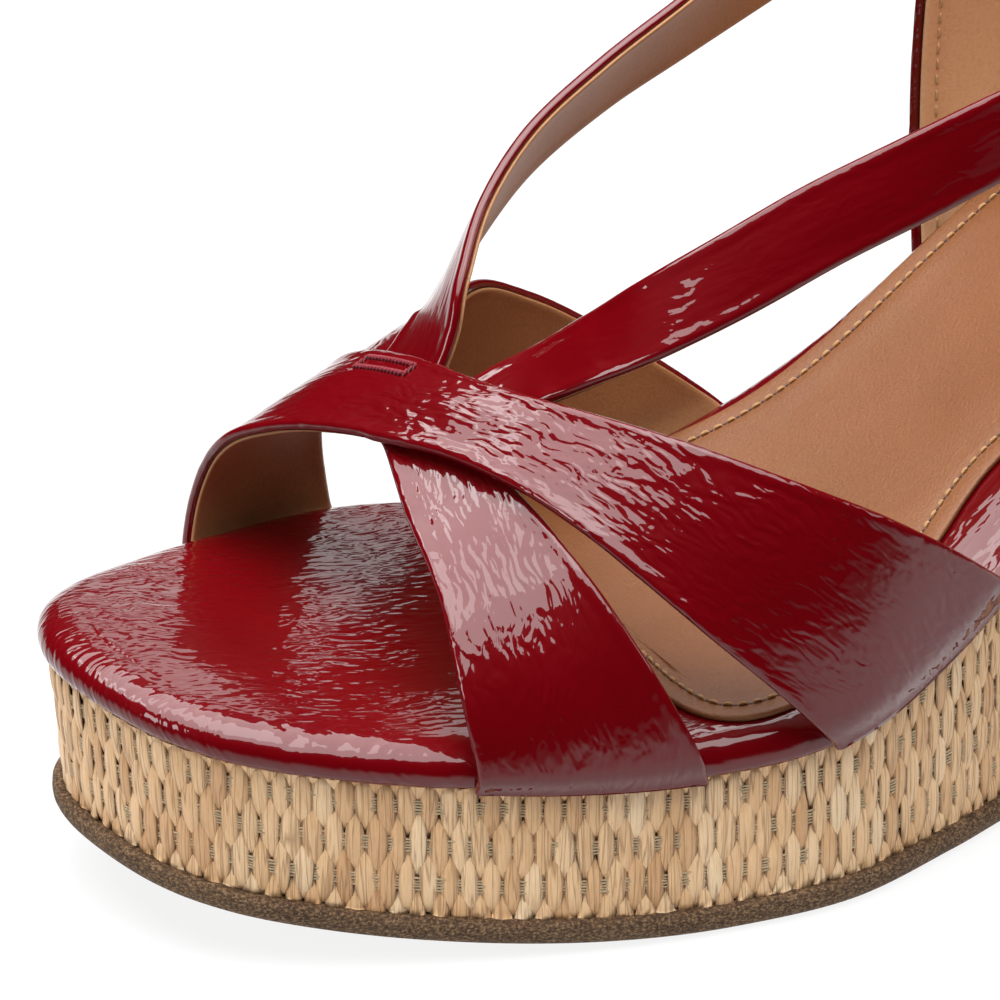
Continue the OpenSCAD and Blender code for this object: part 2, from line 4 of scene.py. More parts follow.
import bpy
import numpy as np
from mathutils import Matrix, Vector


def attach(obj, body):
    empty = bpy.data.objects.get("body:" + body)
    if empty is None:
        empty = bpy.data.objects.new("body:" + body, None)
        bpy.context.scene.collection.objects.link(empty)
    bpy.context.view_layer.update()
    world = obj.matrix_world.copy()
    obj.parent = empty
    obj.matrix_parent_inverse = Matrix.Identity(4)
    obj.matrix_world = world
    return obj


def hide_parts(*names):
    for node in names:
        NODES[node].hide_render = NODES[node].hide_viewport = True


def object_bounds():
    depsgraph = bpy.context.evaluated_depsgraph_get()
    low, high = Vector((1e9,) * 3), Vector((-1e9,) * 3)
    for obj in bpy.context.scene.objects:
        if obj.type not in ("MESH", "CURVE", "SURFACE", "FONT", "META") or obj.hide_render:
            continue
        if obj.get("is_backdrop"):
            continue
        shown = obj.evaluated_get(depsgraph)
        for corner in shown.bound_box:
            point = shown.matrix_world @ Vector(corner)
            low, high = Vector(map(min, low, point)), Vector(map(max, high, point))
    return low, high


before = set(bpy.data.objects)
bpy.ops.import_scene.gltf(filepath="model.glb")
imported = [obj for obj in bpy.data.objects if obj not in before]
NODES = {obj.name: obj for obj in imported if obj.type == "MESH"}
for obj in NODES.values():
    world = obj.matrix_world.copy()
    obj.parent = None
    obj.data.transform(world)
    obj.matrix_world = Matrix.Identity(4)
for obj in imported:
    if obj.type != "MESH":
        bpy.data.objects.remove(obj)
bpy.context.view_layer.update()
RNG = np.random.default_rng(7)

# ------------------------------------------------------------------ small maths (millimetres, drafting frame)
ORG = np.array([5.3, 122.98, 0.0])


def unit(v):
    return v / np.maximum(np.linalg.norm(v, axis=-1, keepdims=True), 1e-12)


def cr(a, b, c, d, t):
    return 0.5 * (2 * b + (c - a) * t + (2 * a - 5 * b + 4 * c - d) * t * t + (3 * b - a - 3 * c + d) * t ** 3)


def closed(P, n):
    P = np.asarray(P, float)
    t = (np.arange(n) / n)[None, :, None]
    a, b, c, d = (np.roll(P, k, 0)[:, None, :] for k in (1, 0, -1, -2))
    return cr(a, b, c, d, t).reshape(-1, P.shape[1])


def curve(P, s):
    P = np.asarray(P, float)
    Q = np.vstack([2 * P[0] - P[1], P, 2 * P[-1] - P[-2]])
    m = len(P) - 1
    s = np.asarray(s, float)
    i = np.clip(np.floor(s * m).astype(int), 0, m - 1)
    t = (s * m - i)[:, None]
    return cr(Q[i], Q[i + 1], Q[i + 2], Q[i + 3], t)


def tab(T, v):
    T = np.asarray(T, float)
    x, f = T[:, 0], T[:, 1]
    sl = np.empty(len(x))
    sl[1:-1] = (f[2:] - f[:-2]) / (x[2:] - x[:-2])
    sl[0] = (f[1] - f[0]) / (x[1] - x[0])
    sl[-1] = (f[-1] - f[-2]) / (x[-1] - x[-2])
    v = np.clip(np.asarray(v, float), x[0], x[-1])
    i = np.clip(np.searchsorted(x, v, side="right") - 1, 0, len(x) - 2)
    h = x[i + 1] - x[i]
    t = (v - x[i]) / h
    return ((2 * t ** 3 - 3 * t * t + 1) * f[i] + (t ** 3 - 2 * t * t + t) * h * sl[i]
            + (3 * t * t - 2 * t ** 3) * f[i + 1] + (t ** 3 - t * t) * h * sl[i + 1])


def smooth(a, b, x):
    t = np.clip((np.asarray(x, float) - a) / (b - a), 0, 1)
    return t * t * (3 - 2 * t)


def noise(P, seed=0):
    """Smooth value noise, -1 to 1, for points in N x 2 or N x 3."""
    P = np.asarray(P, float)
    if P.shape[-1] == 2:
        P = np.concatenate([P, np.zeros(P.shape[:-1] + (1,))], -1)
    i = np.floor(P).astype(np.int64)
    f = P - i
    u = f * f * f * (f * (f * 6 - 15) + 10)

    def h(dx, dy, dz):
        n = ((i[..., 0] + dx) * 374761393 + (i[..., 1] + dy) * 668265263 + (i[..., 2] + dz) * 1440662683 + seed * 982451653) & 0xFFFFFFFF
        n = ((n ^ (n >> 13)) * 1274126177) & 0xFFFFFFFF
        n = ((n ^ (n >> 15)) * 668265263) & 0xFFFFFFFF
        return ((n ^ (n >> 16)) & 0xFFFF) / 32767.5 - 1

    x, y, z = u[..., 0], u[..., 1], u[..., 2]
    r = 0
    for dz in (0, 1):
        for dy in (0, 1):
            for dx in (0, 1):
                w = (x if dx else 1 - x) * (y if dy else 1 - y) * (z if dz else 1 - z)
                r = r + w * h(dx, dy, dz)
    return r


# ------------------------------------------------------------------ sole outline and heights
PLAN = [[3, 12.5, 14], [10, 22.5, 21.8], [22, 30.2, 28.5], [38, 37.2, 34.3], [55, 42.8, 36.4], [72, 46.2, 31.8],
        [90, 47, 28.2], [108, 41.8, 26.2], [126, 35.4, 25.4], [146, 32.8, 27.2], [168, 31.4, 28.4], [190, 30.4, 28.6],
        [210, 28.6, 27.2], [226, 23.4, 22.8], [236.5, 13.5, 13.2]]
LOOP = np.array([[-3.0, 0]] + [[p[1], p[0]] for p in PLAN] + [[0, 240]] + [[-p[2], p[0]] for p in PLAN[::-1]], float)
XL = [[0, -3]] + [[p[0], p[1]] for p in PLAN] + [[240, 0]]
XM = [[0, 3]] + [[p[0], p[2]] for p in PLAN] + [[240, 0]]
RISE = [[-20, 0], [75, 0], [85, .8], [95, 3], [105, 6.4], [117, 11.8], [128, 17.8], [141, 25.3], [155, 33.3],
        [170, 40.8], [185, 46.4], [200, 49.8], [215, 51.8], [240, 54.3], [260, 55.5]]


def spring(y):
    y = np.asarray(y, float)
    return np.where(y < 75, 9.4 * (1 - y / 75) ** 2, 0)


def H(y):
    return 23.2 + spring(y) + tab(RISE, y)


def flare(y, h):
    """The band leans out a little towards the toe: h is 0 at the outsole, 1 at the top edge."""
    return 1.7 * (1 - smooth(0, 46, y)) * h


class Ring:
    """The sole outline, sampled n times a span."""

    def __init__(self, n, loop=LOOP):
        self.p = closed(loop, n)
        d = unit(np.roll(self.p, -1, 0) - np.roll(self.p, 1, 0))
        self.n = np.stack([d[:, 1], -d[:, 0]], 1)
        self.N = len(self.p)
        seg = np.linalg.norm(np.roll(self.p, -1, 0) - self.p, axis=1)
        self.s = np.concatenate([[0], np.cumsum(seg)[:-1]])
        self.length = seg.sum()

    def inset(self, d):
        return self.p - self.n * np.asarray(d)[..., None] if np.ndim(d) else self.p - self.n * d


def loop_at(s):
    s = np.mod(np.asarray(s, float), 32)
    i = np.floor(s).astype(int)
    t = (s - i)[..., None]
    return cr(LOOP[(i - 1) % 32], LOOP[i % 32], LOOP[(i + 1) % 32], LOOP[(i + 2) % 32], t)


def loop_n(s):
    d = unit(loop_at(np.asarray(s) + 0.02) - loop_at(np.asarray(s) - 0.02))
    return np.stack([d[..., 1], -d[..., 0]], -1)


TOPLINE = [[120, 115], [141, 116], [165, 118], [195, 122], [225, 125], [240, 127], [250, 127]]


def wall(s, v, off):
    s, v, off = np.broadcast_arrays(np.asarray(s, float), np.asarray(v, float), np.asarray(off, float))
    p, n = loop_at(s), loop_n(s)
    k = np.minimum(1, (p[..., 0] / 20) ** 2)
    o = off + k * (2 * np.sin(np.pi * v) - 5 * v * v)
    q = p + n * o[..., None]
    z0 = H(p[..., 1]) + 0.15
    z1 = tab(TOPLINE, p[..., 1])
    return np.concatenate([q, (z0 + (z1 - z0) * v)[..., None]], -1)


# ------------------------------------------------------------------ meshes
def add(name, V, F, body, mat, nodes=(), attrs=None, flat=False):
    """A piece from points in millimetres (drafting frame) and a list of faces."""
    V = (np.asarray(V, float) - ORG) / 1000.0
    me = bpy.data.meshes.new(name)
    if isinstance(F, np.ndarray):
        k = F.shape[1]
        me.vertices.add(len(V))
        me.vertices.foreach_set("co", V.ravel())
        me.loops.add(F.size)
        me.loops.foreach_set("vertex_index", F.ravel().astype(np.int32))
        me.polygons.add(len(F))
        me.polygons.foreach_set("loop_start", (np.arange(len(F)) * k).astype(np.int32))
        me.update(calc_edges=True)
        me.validate()
    else:
        me.from_pydata([tuple(v) for v in V], [], [tuple(int(i) for i in f) for f in F])
        me.validate()
        me.update()
    if not flat:
        me.polygons.foreach_set("use_smooth", np.ones(len(me.polygons), bool))
    for key, val in (attrs or {}).items():
        val = np.asarray(val, float)
        if val.ndim == 1:
            a = me.attributes.new(key, "FLOAT", "POINT")
            a.data.foreach_set("value", val)
        else:
            a = me.attributes.new(key, "FLOAT_VECTOR", "POINT")
            if val.shape[1] == 2:
                val = np.concatenate([val, np.zeros((len(val), 1))], 1)
            a.data.foreach_set("vector", val.ravel())
    me.materials.append(mat)
    ob = bpy.data.objects.new(name, me)
    bpy.context.scene.collection.objects.link(ob)
    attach(ob, body)
    if nodes:
        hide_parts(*nodes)
    return ob


def normals(ob):
    n = np.empty(len(ob.data.vertices) * 3)
    ob.data.vertex_normals.foreach_get("vector", n)
    return n.reshape(-1, 3)


def push(ob, d):
    """Moves each point along its normal by d millimetres."""
    me = ob.data
    co = np.empty(len(me.vertices) * 3)
    me.vertices.foreach_get("co", co)
    co = co.reshape(-1, 3) + normals(ob) * (np.asarray(d)[:, None] / 1000.0)
    me.vertices.foreach_set("co", co.ravel())
    me.update()


def grid_faces(a, b, wrap_a=False, wrap_b=False, base=0, flip=False):
    i = np.arange(a if wrap_a else a - 1)
    j = np.arange(b if wrap_b else b - 1)
    I, J = np.meshgrid(i, j, indexing="ij")
    I2, J2 = (I + 1) % a, (J + 1) % b
    f = np.stack([I * b + J, I2 * b + J, I2 * b + J2, I * b + J2], -1).reshape(-1, 4) + base
    return f[:, ::-1].copy() if flip else f


def loft(P, cap=True, flip=False):
    """P[station, place round the closed section, 3] to points and faces; the ends are capped with strips."""
    a, b = P.shape[:2]
    V = P.reshape(-1, 3)
    F = [grid_faces(a, b, wrap_b=True, flip=flip)]
    if cap:
        for k, fl in ((0, not flip), (a - 1, flip)):
            base = k * b
            q = []
            for i in range(b // 2 - 1):
                lo, hi = i, b - 1 - i
                q.append([base + lo, base + lo + 1, base + hi - 1, base + hi])
            q = np.array(q)
            F.append(q[:, ::-1] if not fl else q)
    return V, np.concatenate(F)


def shell(A, B, F):
    """A closed solid from an outer and an inner copy of the same open patch."""
    n = len(A)
    E = {}
    for f in F:
        k = len(f)
        for i in range(k):
            a, b = int(f[i]), int(f[(i + 1) % k])
            if (b, a) in E:
                del E[(b, a)]
            else:
                E[(a, b)] = 1
    side = np.array([[b, a, a + n, b + n] for a, b in E])
    return np.concatenate([A, B]), np.concatenate([F, F[:, ::-1] + n, side])


# ------------------------------------------------------------------ materials
def srgb(r, g, b):
    return tuple(((c / 255) / 12.92 if c / 255 <= 0.04045 else ((c / 255 + 0.055) / 1.055) ** 2.4) for c in (r, g, b)) + (1,)


RED_A, RED_B = (87, 0, 4), (103, 0, 9)


class M:
    """A short way to write a node material."""

    def __init__(self, name):
        self.m = bpy.data.materials.new(name)
        self.m.use_nodes = True
        self.t = self.m.node_tree
        self.b = self.t.nodes["Principled BSDF"]

    def n(self, kind, **kw):
        nd = self.t.nodes.new(kind)
        for k, v in kw.items():
            if k in nd.inputs.keys():
                self.plug(v, nd.inputs[k])
            else:
                setattr(nd, k, v)
        return nd

    def plug(self, v, sock):
        if isinstance(v, bpy.types.NodeSocket):
            self.t.links.new(v, sock)
        else:
            sock.default_value = v

    def set(self, **kw):
        for k, v in kw.items():
            self.plug(v, self.b.inputs[k.replace("_", " ")])
        return self

    def attr(self, name):
        return self.n("ShaderNodeAttribute", attribute_name=name)

    def obj(self):
        return self.n("ShaderNodeTexCoord").outputs["Object"]

    def scale(self, vec, s):
        nd = self.n("ShaderNodeVectorMath", operation="MULTIPLY")
        self.plug(vec, nd.inputs[0])
        nd.inputs[1].default_value = s
        return nd.outputs[0]

    def vadd(self, a, b):
        nd = self.n("ShaderNodeVectorMath", operation="ADD")
        self.plug(a, nd.inputs[0])
        self.plug(b, nd.inputs[1])
        return nd.outputs[0]

    def noise(self, vec, scale=1.0, detail=3.0, rough=0.55, dist=0.0, out="Fac"):
        nd = self.n("ShaderNodeTexNoise", Vector=vec, Scale=scale, Detail=detail, Roughness=rough, Distortion=dist)
        return nd.outputs[out]

    def voronoi(self, vec, scale, feature="F1", out="Distance"):
        nd = self.t.nodes.new("ShaderNodeTexVoronoi")
        nd.feature = feature
        self.plug(vec, nd.inputs["Vector"])
        nd.inputs["Scale"].default_value = scale
        return nd.outputs[out]

    def math(self, op, a, b=0.0, c=None):
        nd = self.n("ShaderNodeMath", operation=op)
        self.plug(a, nd.inputs[0])
        self.plug(b, nd.inputs[1])
        if c is not None:
            self.plug(c, nd.inputs[2])
        return nd.outputs[0]

    def ramp(self, fac, stops):
        nd = self.n("ShaderNodeValToRGB")
        self.plug(fac, nd.inputs[0])
        cr_ = nd.color_ramp
        while len(cr_.elements) < len(stops):
            cr_.elements.new(0.5)
        for e, (p, c) in zip(cr_.elements, stops):
            e.position = p
            e.color = c
        return nd.outputs["Color"]

    def mix(self, fac, a, b, mode="MIX"):
        nd = self.n("ShaderNodeMix", data_type="RGBA", blend_type=mode)
        self.plug(fac, nd.inputs[0])
        self.plug(a, nd.inputs[6])
        self.plug(b, nd.inputs[7])
        return nd.outputs[2]

    def bump(self, height, strength, dist, normal=None):
        nd = self.n("ShaderNodeBump", Strength=strength, Distance=dist, Height=height)
        if normal is not None:
            self.plug(normal, nd.inputs["Normal"])
        return nd.outputs["Normal"]


def patent(name="red_patent_mat", depth=.00021):
    """Deep red crinkle patent leather: a mirror-like clear coat with long smooth ripples over pigment."""
    m = M(name)
    st = m.attr("st").outputs["Vector"]
    warp = m.noise(m.scale(st, (.13, .16, 1)), 1.0, 1.0, .5, 0, "Color")
    w = m.vadd(st, m.scale(warp, (5.0, 3.2, 0)))
    long_ = m.noise(m.scale(w, (.36, .98, 1)), 1.0, .5, .4)
    short = m.noise(m.scale(w, (.62, 1.55, 1)), 1.0, .3, .4)
    calm = m.ramp(m.noise(m.scale(st, (.055, .07, 1)), 1.0, 1.0, .5), [(.34, (.35, .35, .35, 1)), (.56, (1, 1, 1, 1))])
    h = m.math("MULTIPLY", m.math("ADD", long_, m.math("MULTIPLY", short, .38)), calm)
    nb = m.bump(h, 1.0, depth)
    tone = m.noise(m.scale(st, (.05, .07, 1)), 1.0, 3.0, .55)
    col = m.mix(tone, srgb(*RED_A), srgb(*RED_B))
    m.set(Base_Color=col, Roughness=.36, Specular_IOR_Level=.04, Coat_Weight=1.0, Coat_Roughness=.018, Coat_IOR=1.5, Coat_Normal=nb, Normal=nb)
    return m.m


def tan_leather(name, a, b, grain=1.0):
    m = M(name)
    o = m.obj()
    mott = m.noise(o, 55.0, 4.0, .6)
    pores = m.voronoi(o, 2300.0)
    fine = m.noise(o, 2600.0, 3.0, .6)
    h = m.math("ADD", m.math("MULTIPLY", pores, .6), m.math("MULTIPLY", fine, .5))
    col = m.mix(m.math("MULTIPLY", mott, 1.0), a, b)
    speck = m.ramp(m.noise(o, 1500.0, 2.0, .5), [(.30, (.86, .84, .82, 1)), (.55, (1, 1, 1, 1))])
    col = m.mix(.6, col, speck, "MULTIPLY")
    m.set(Base_Color=col, Roughness=.50, Specular_IOR_Level=.42, Normal=m.bump(h, .45 * grain, .00012))
    return m.m


def thread_mat(name, a, b):
    m = M(name)
    st = m.attr("st").outputs["Vector"]
    tw = m.n("ShaderNodeTexWave", wave_type="BANDS", bands_direction="DIAGONAL", Vector=m.scale(st, (1.6, 1.6, 1)), Scale=1.0, Distortion=.6, Detail=1.0)
    hole_shade = m.attr("hole_shade").outputs["Fac"]
    col = m.mix(tw.outputs["Fac"], a, b)
    # the rings at the stitch holes turn a deep brown: painted shade for the holes
    col = m.mix(hole_shade, col, srgb(52, 26, 18))
    m.set(Base_Color=col, Roughness=.62, Sheen_Weight=.25, Specular_IOR_Level=.3, Normal=m.bump(tw.outputs["Fac"], .5, .0001))
    return m.m


def raffia_mat(name="raffia_mat"):
    """Dried palm strand: straw tones that change from strand to strand, long fibres, a satin face."""
    m = M(name)
    st = m.attr("st").outputs["Vector"]
    tint = m.attr("tint").outputs["Fac"]
    fib = m.noise(m.scale(st, (3.4, .22, 1)), 1.0, 3.0, .6)
    fib2 = m.noise(m.scale(st, (13.0, .5, 1)), 1.0, 2.0, .5)
    blot = m.noise(m.scale(st, (.55, .28, 1)), 1.0, 2.0, .5)
    base = m.ramp(tint, [(0, srgb(206, 158, 110)), (.3, srgb(226, 182, 133)), (.62, srgb(240, 202, 156)), (1, srgb(248, 221, 182))])
    base = m.mix(m.math("MULTIPLY", blot, .45), base, srgb(232, 191, 148))
    shade = m.ramp(fib, [(.26, (.68, .56, .44, 1)), (.40, (.90, .84, .76, 1)), (.54, (1, 1, 1, 1)), (.74, (1.08, 1.08, 1.07, 1))])
    col = m.mix(.85, base, shade, "MULTIPLY")
    # a few strands are split along their length
    line = m.math("ABSOLUTE", m.math("SUBTRACT", m.noise(m.scale(st, (1.15, .05, 1)), 1.0, 1.0, .4), .5))
    split = m.math("MULTIPLY", m.math("SUBTRACT", 1.0, m.math("MINIMUM", m.math("MULTIPLY", line, 26.0), 1.0)), .55)
    col = m.mix(split, col, srgb(132, 88, 48))
    # each strand's ends, where it dips under the cords, turn darker and browner: painted shade under the cords
    tip = m.attr("tip").outputs["Fac"]
    col = m.mix(m.math("MULTIPLY", tip, .55), col, srgb(150, 106, 64))
    h = m.math("SUBTRACT", m.math("ADD", m.math("MULTIPLY", fib, .8), m.math("MULTIPLY", fib2, .35)), m.math("MULTIPLY", split, .8))
    m.set(Base_Color=col, Roughness=.44, Specular_IOR_Level=.42, Sheen_Weight=.06, Normal=m.bump(h, .7, .00022))
    return m.m


def plain(name, a, b, scale, rough, bump=.3, dist=.0002, metal=0.0, spec=.4, detail=4.0):
    m = M(name)
    o = m.obj()
    f = m.noise(o, scale, detail, .6)
    r = m.noise(o, scale * .37, 2.0, .5)
    m.set(Base_Color=m.mix(f, a, b), Roughness=m.math("MULTIPLY_ADD", r, .18, rough - .09), Metallic=metal, Specular_IOR_Level=spec,
          Normal=m.bump(f, bump, dist))
    return m.m


def rubber_mat():
    m = M("sole_rubber_mat")
    o = m.obj()
    sp = m.ramp(m.noise(m.scale(o, (1, 1, 1.7)), 1900.0, 3.0, .75), [(.36, srgb(37, 26, 18)), (.5, srgb(86, 64, 45)), (.64, srgb(156, 126, 94))])
    big = m.noise(o, 120.0, 3.0, .6)
    col = m.mix(.30, sp, m.ramp(big, [(.3, srgb(72, 52, 36)), (.7, srgb(100, 78, 57))]))
    h = m.noise(o, 1300.0, 3.0, .6)
    m.set(Base_Color=col, Roughness=.78, Specular_IOR_Level=.3, Normal=m.bump(h, .8, .00025))
    return m.m


PATENT = patent()
SOFT_PATENT = patent("red_patent_soft_mat", .00009)
TAN = tan_leather("tan_leather_mat", srgb(118, 71, 37), srgb(138, 86, 48), 1.7)
LINING = tan_leather("tan_lining_mat", srgb(160, 110, 70), srgb(180, 130, 88), .8)
WALL_LINING = tan_leather("tan_quarter_mat", srgb(206, 156, 114), srgb(220, 176, 134), .8)
THREAD = thread_mat("tan_thread_mat", srgb(210, 168, 114), srgb(166, 120, 74))
REDTHREAD = thread_mat("red_thread_mat", srgb(150, 8, 38), srgb(92, 2, 18))
RAFFIA = raffia_mat()
WEFT = plain("weft_mat", srgb(152, 130, 100), srgb(208, 186, 152), 1500.0, .75, .6)
# the backing's deep brown is painted shade, seen through the gaps of the weave
SHADE_BACKING = plain("raffia_backing_shade_mat", srgb(70, 48, 30), srgb(104, 76, 50), 700.0, .85, .5)
RUBBER = rubber_mat()
ZTAPE = plain("zip_tape_mat", srgb(96, 6, 18), srgb(128, 12, 28), 2400.0, .75, .8, .0002)
BRASS = plain("zip_metal_mat", srgb(196, 160, 92), srgb(222, 190, 120), 300.0, .27, .08, .00005, 1.0, .5)
EDGE = plain("cut_edge_mat", srgb(120, 92, 68), srgb(158, 128, 98), 1800.0, .8, .5)
CORK = plain("cork_mat", srgb(150, 110, 70), srgb(196, 156, 108), 260.0, .8, .6, .0003)
BOARD = plain("fibre_board_mat", srgb(126, 100, 76), srgb(160, 134, 106), 900.0, .85, .4)
STEEL = plain("steel_mat", srgb(150, 152, 156), srgb(186, 188, 192), 200.0, .34, .1, .0001, 1.0, .5)
FOAM = plain("foam_mat", srgb(232, 222, 196), srgb(246, 240, 222), 1200.0, .9, .6)
SOFTFOAM = plain("soft_foam_mat", srgb(128, 182, 196), srgb(162, 208, 218), 1300.0, .9, .6)
STIFF = plain("stiffener_mat", srgb(206, 198, 180), srgb(228, 222, 206), 800.0, .8, .4)

for node, mat in (("wedge_core", CORK), ("insole_board", BOARD), ("shank", STEEL), ("footbed_foam", FOAM), ("heel_cushion", SOFTFOAM),
                  ("counter_stiffener_lateral", STIFF), ("counter_stiffener_medial", STIFF)):
    NODES[node].data.materials.clear()
    NODES[node].data.materials.append(mat)


# ------------------------------------------------------------------ patent ripples
def ripples(st, k=1.0, seed=3):
    """Height of the crinkle in millimetres: long low waves along the leather, finer ones across it."""
    st = np.asarray(st, float)
    u, v = st[:, 0], st[:, 1]
    wu = u + 2.6 * noise(np.stack([u / 11, v / 8], 1), seed)
    wv = v + 1.8 * noise(np.stack([u / 9, v / 7], 1), seed + 1)
    big = noise(np.stack([wu / 14, wv / 8], 1), seed + 2)
    mid = noise(np.stack([wu / 5.4, wv / 2.3], 1), seed + 3)
    calm = smooth(-.45, .25, noise(np.stack([u / 17, v / 12], 1), seed + 6)) * .7 + .3
    return k * (0.10 * big + 0.055 * mid * calm)


# ------------------------------------------------------------------ sections across a strap: (in from the edge, height)
BEAD = [(1.7, -1.0), (1.25, -1.1), (.8, -1.27), (.4, -1.27), (.12, -1.06), (0, -.66), (.06, -.30), (.22, -.03), (.5, .12), (.85, .175),
        (1.25, .145), (1.7, .07), (2.2, 0)]


def section_outer(mid, under=10):
    """Rows of (side, inset or share across, height); side 0 front edge, 1 share of the middle, 2 rear edge."""
    rows = [(0, a, n) for a, n in BEAD]
    rows += [(1, (k + 1) / (mid + 1), 0) for k in range(mid)]
    rows += [(2, a, n) for a, n in BEAD[::-1]]
    rows += [(3, 1 - (k + 1) / (under + 1), -1.0) for k in range(under)]
    return rows


def section_lining(mid):
    top = [(.42, -1.58), (.46, -1.40), (.62, -1.32), (1.2, -1.27), (1.9, -1.06), (2.6, -1.03)]
    rows = [(0, a, n) for a, n in top]
    rows += [(4, (k + 1) / (mid + 1), -1.03) for k in range(mid)]
    rows += [(2, a, n) for a, n in top[::-1]]
    bot = [(.44, -1.70), (.62, -1.82), (1.1, -1.84), (1.8, -1.78), (2.6, -1.73)]
    rows += [(2, a, n) for a, n in bot]
    rows += [(4, 1 - (k + 1) / (mid + 1), -1.73) for k in range(mid)]
    rows += [(0, a, n) for a, n in bot[::-1]]
    return rows


def place_rows(rows, width, k0=1.0, k1=1.0):
    """Millimetres across (0 to width) for each row, at each station; k0 and k1 stretch the insets at the two edges."""
    k0, k1 = np.broadcast_to(k0, width.shape), np.broadcast_to(k1, width.shape)
    A = np.empty((len(width), len(rows)))
    N = np.empty(len(rows))
    for k, (side, a, n) in enumerate(rows):
        N[k] = n
        if side == 0:
            A[:, k] = a * k0
        elif side == 2:
            A[:, k] = width - a * k1
        else:
            e = {1: 2.2, 3: 1.7, 4: 2.6}[side]
            A[:, k] = e * k0 + (width - e * (k0 + k1)) * a
    return A, N


# ------------------------------------------------------------------ toe straps on the foot form
FORM = [[0, 8], [20, 18], [40, 28], [60, 40], [80, 52.5], [100, 60], [120, 67], [140, 74]]


def form(y, th, off):
    y, th, off = np.broadcast_arrays(np.asarray(y, float), np.asarray(th, float), np.asarray(off, float))
    c, s = np.cos(np.radians(th)), np.maximum(np.sin(np.radians(th)), 0)
    l, m = tab(XL, y) + off, tab(XM, y) + off
    x = (l - m) / 2 + (l + m) / 2 * np.sign(c) * np.abs(c) ** (2 / 2.3) - 5.4 * s * s
    z = H(y) + (tab(FORM, y) + off) * s ** (2 / 2.07)
    return np.stack([x, y, z], -1)


A_FRONT = [[0, 86.5], [25, 68.5], [50, 57], [75, 49], [100, 40.5], [125, 34.5], [150, 33], [180, 31.5]]
A_REAR = [[0, 118.5], [25, 97], [50, 75], [75, 60.5], [100, 53.5], [125, 52], [150, 53], [180, 56.5]]
A_LIFT = [[0, 2.3], [45, 3.9], [72, 4.05], [90, 3.9], [108, 3.7], [135, 2.8], [180, 2.3]]
B_FRONT = [[0, 38.5], [25, 38], [50, 40], [75, 43], [100, 48], [125, 53], [150, 62.5], [180, 77]]
B_REAR = [[0, 68.5], [25, 61], [50, 56], [75, 54.5], [100, 59], [125, 69], [150, 87], [180, 112]]
B_LIFT = [[0, 2.3], [40, 2.2], [55, 1.4], [70, -.2], [90, -.2], [108, -.2], [122, 1.4], [136, 3.3], [155, 3], [180, 2.3]]
B_REAR_LIFT = [[0, 0], [106, 0], [118, 1.6], [128, 1.8], [142, 0], [180, 0]]
FLAT = [[0, 0], [180, 0]]
# how far strap A's front edge settles onto strap B, and where
A_SETTLE = [[0, 0], [55, 0], [70, 1.0], [85, 1.45], [100, 1.45], [112, 1.0], [128, 0], [180, 0]]


def toe_strap(name, F, R, L, E, settle, rows, nth, node, mat, seed=None):
    th = np.linspace(0, 180, nth)
    yf, yr = tab(F, th), tab(R, th)
    lift, rear = tab(L, th), tab(E, th)
    st_ = tab(settle, th)

    def top(w):
        drop = st_[:, None] * (1 - smooth(0, .7, w))
        # the last few millimetres curl in under the rim
        curl = 1.5 * (1 - smooth(0, 7, th)) ** 2 + 1.5 * (1 - smooth(0, 7, 180 - th)) ** 2
        return form(yf[:, None] * (1 - w) + yr[:, None] * w, th[:, None], lift[:, None] + rear[:, None] * w - drop - curl[:, None])

    W0 = np.repeat(np.linspace(0, 1, 41)[None], nth, 0)
    G = top(W0)
    width = np.linalg.norm(np.diff(G, axis=1), axis=2).sum(1)
    # the sine of the angle between each edge and the line across turns true insets into insets along that line
    across0, across1 = unit(G[:, 1] - G[:, 0]), unit(G[:, -1] - G[:, -2])
    t0, t1 = unit(np.gradient(G[:, 0], axis=0)), unit(np.gradient(G[:, -1], axis=0))
    s0 = np.clip(np.linalg.norm(np.cross(across0, t0), axis=1), .45, 1)
    s1 = np.clip(np.linalg.norm(np.cross(across1, t1), axis=1), .45, 1)
    A, N = place_rows(rows, width, 1 / s0, 1 / s1)
    W = A / width[:, None]
    P = top(W)
    e = 1e-3
    dw = top(W + e) - top(W - e)
    dth = np.gradient(P, axis=0)
    nn = unit(np.cross(dth, dw))
    nn *= np.sign(nn[nth // 2, len(rows) // 2, 2])
    ny = nn.copy()
    P = P + ny * N[None, :, None]
    P[..., 2] = np.maximum(P[..., 2], H(P[..., 1]) - .9)
    V, Fc = loft(P)
    along = np.concatenate([[0], np.cumsum(np.linalg.norm(np.diff(G[:, 20], axis=0), axis=1))])
    st = np.stack([np.repeat(along[:, None], len(rows), 1).ravel(), A.ravel()], 1)
    ob = add(name, V, Fc, "shoe", mat, node, {"st": st})
    fix(ob)
    if seed is not None:
        tight = .35 + .65 * smooth(10, 42, th) * smooth(0, 30, 180 - th)
        push(ob, ripples(st, 1.0, seed) * np.repeat(tight, len(rows)))
    return ob


def fix(ob):
    """Faces outwards."""
    import bmesh
    bm = bmesh.new()
    bm.from_mesh(ob.data)
    bmesh.ops.recalc_face_normals(bm, faces=bm.faces)
    bm.to_mesh(ob.data)
    bm.free()
    ob.data.update()


toe_strap("strap_a_skin", A_FRONT, A_REAR, A_LIFT, FLAT, A_SETTLE, section_outer(64), 400, ["strap_a_outer"], PATENT, 11)
toe_strap("strap_a_lining_skin", A_FRONT, A_REAR, A_LIFT, FLAT, A_SETTLE, section_lining(14), 120, ["strap_a_lining"], LINING)
toe_strap("strap_b_skin", B_FRONT, B_REAR, B_LIFT, B_REAR_LIFT, FLAT, section_outer(64), 400, ["strap_b_outer"], PATENT, 29)
toe_strap("strap_b_lining_skin", B_FRONT, B_REAR, B_LIFT, B_REAR_LIFT, FLAT, section_lining(14), 120, ["strap_b_lining"], LINING)


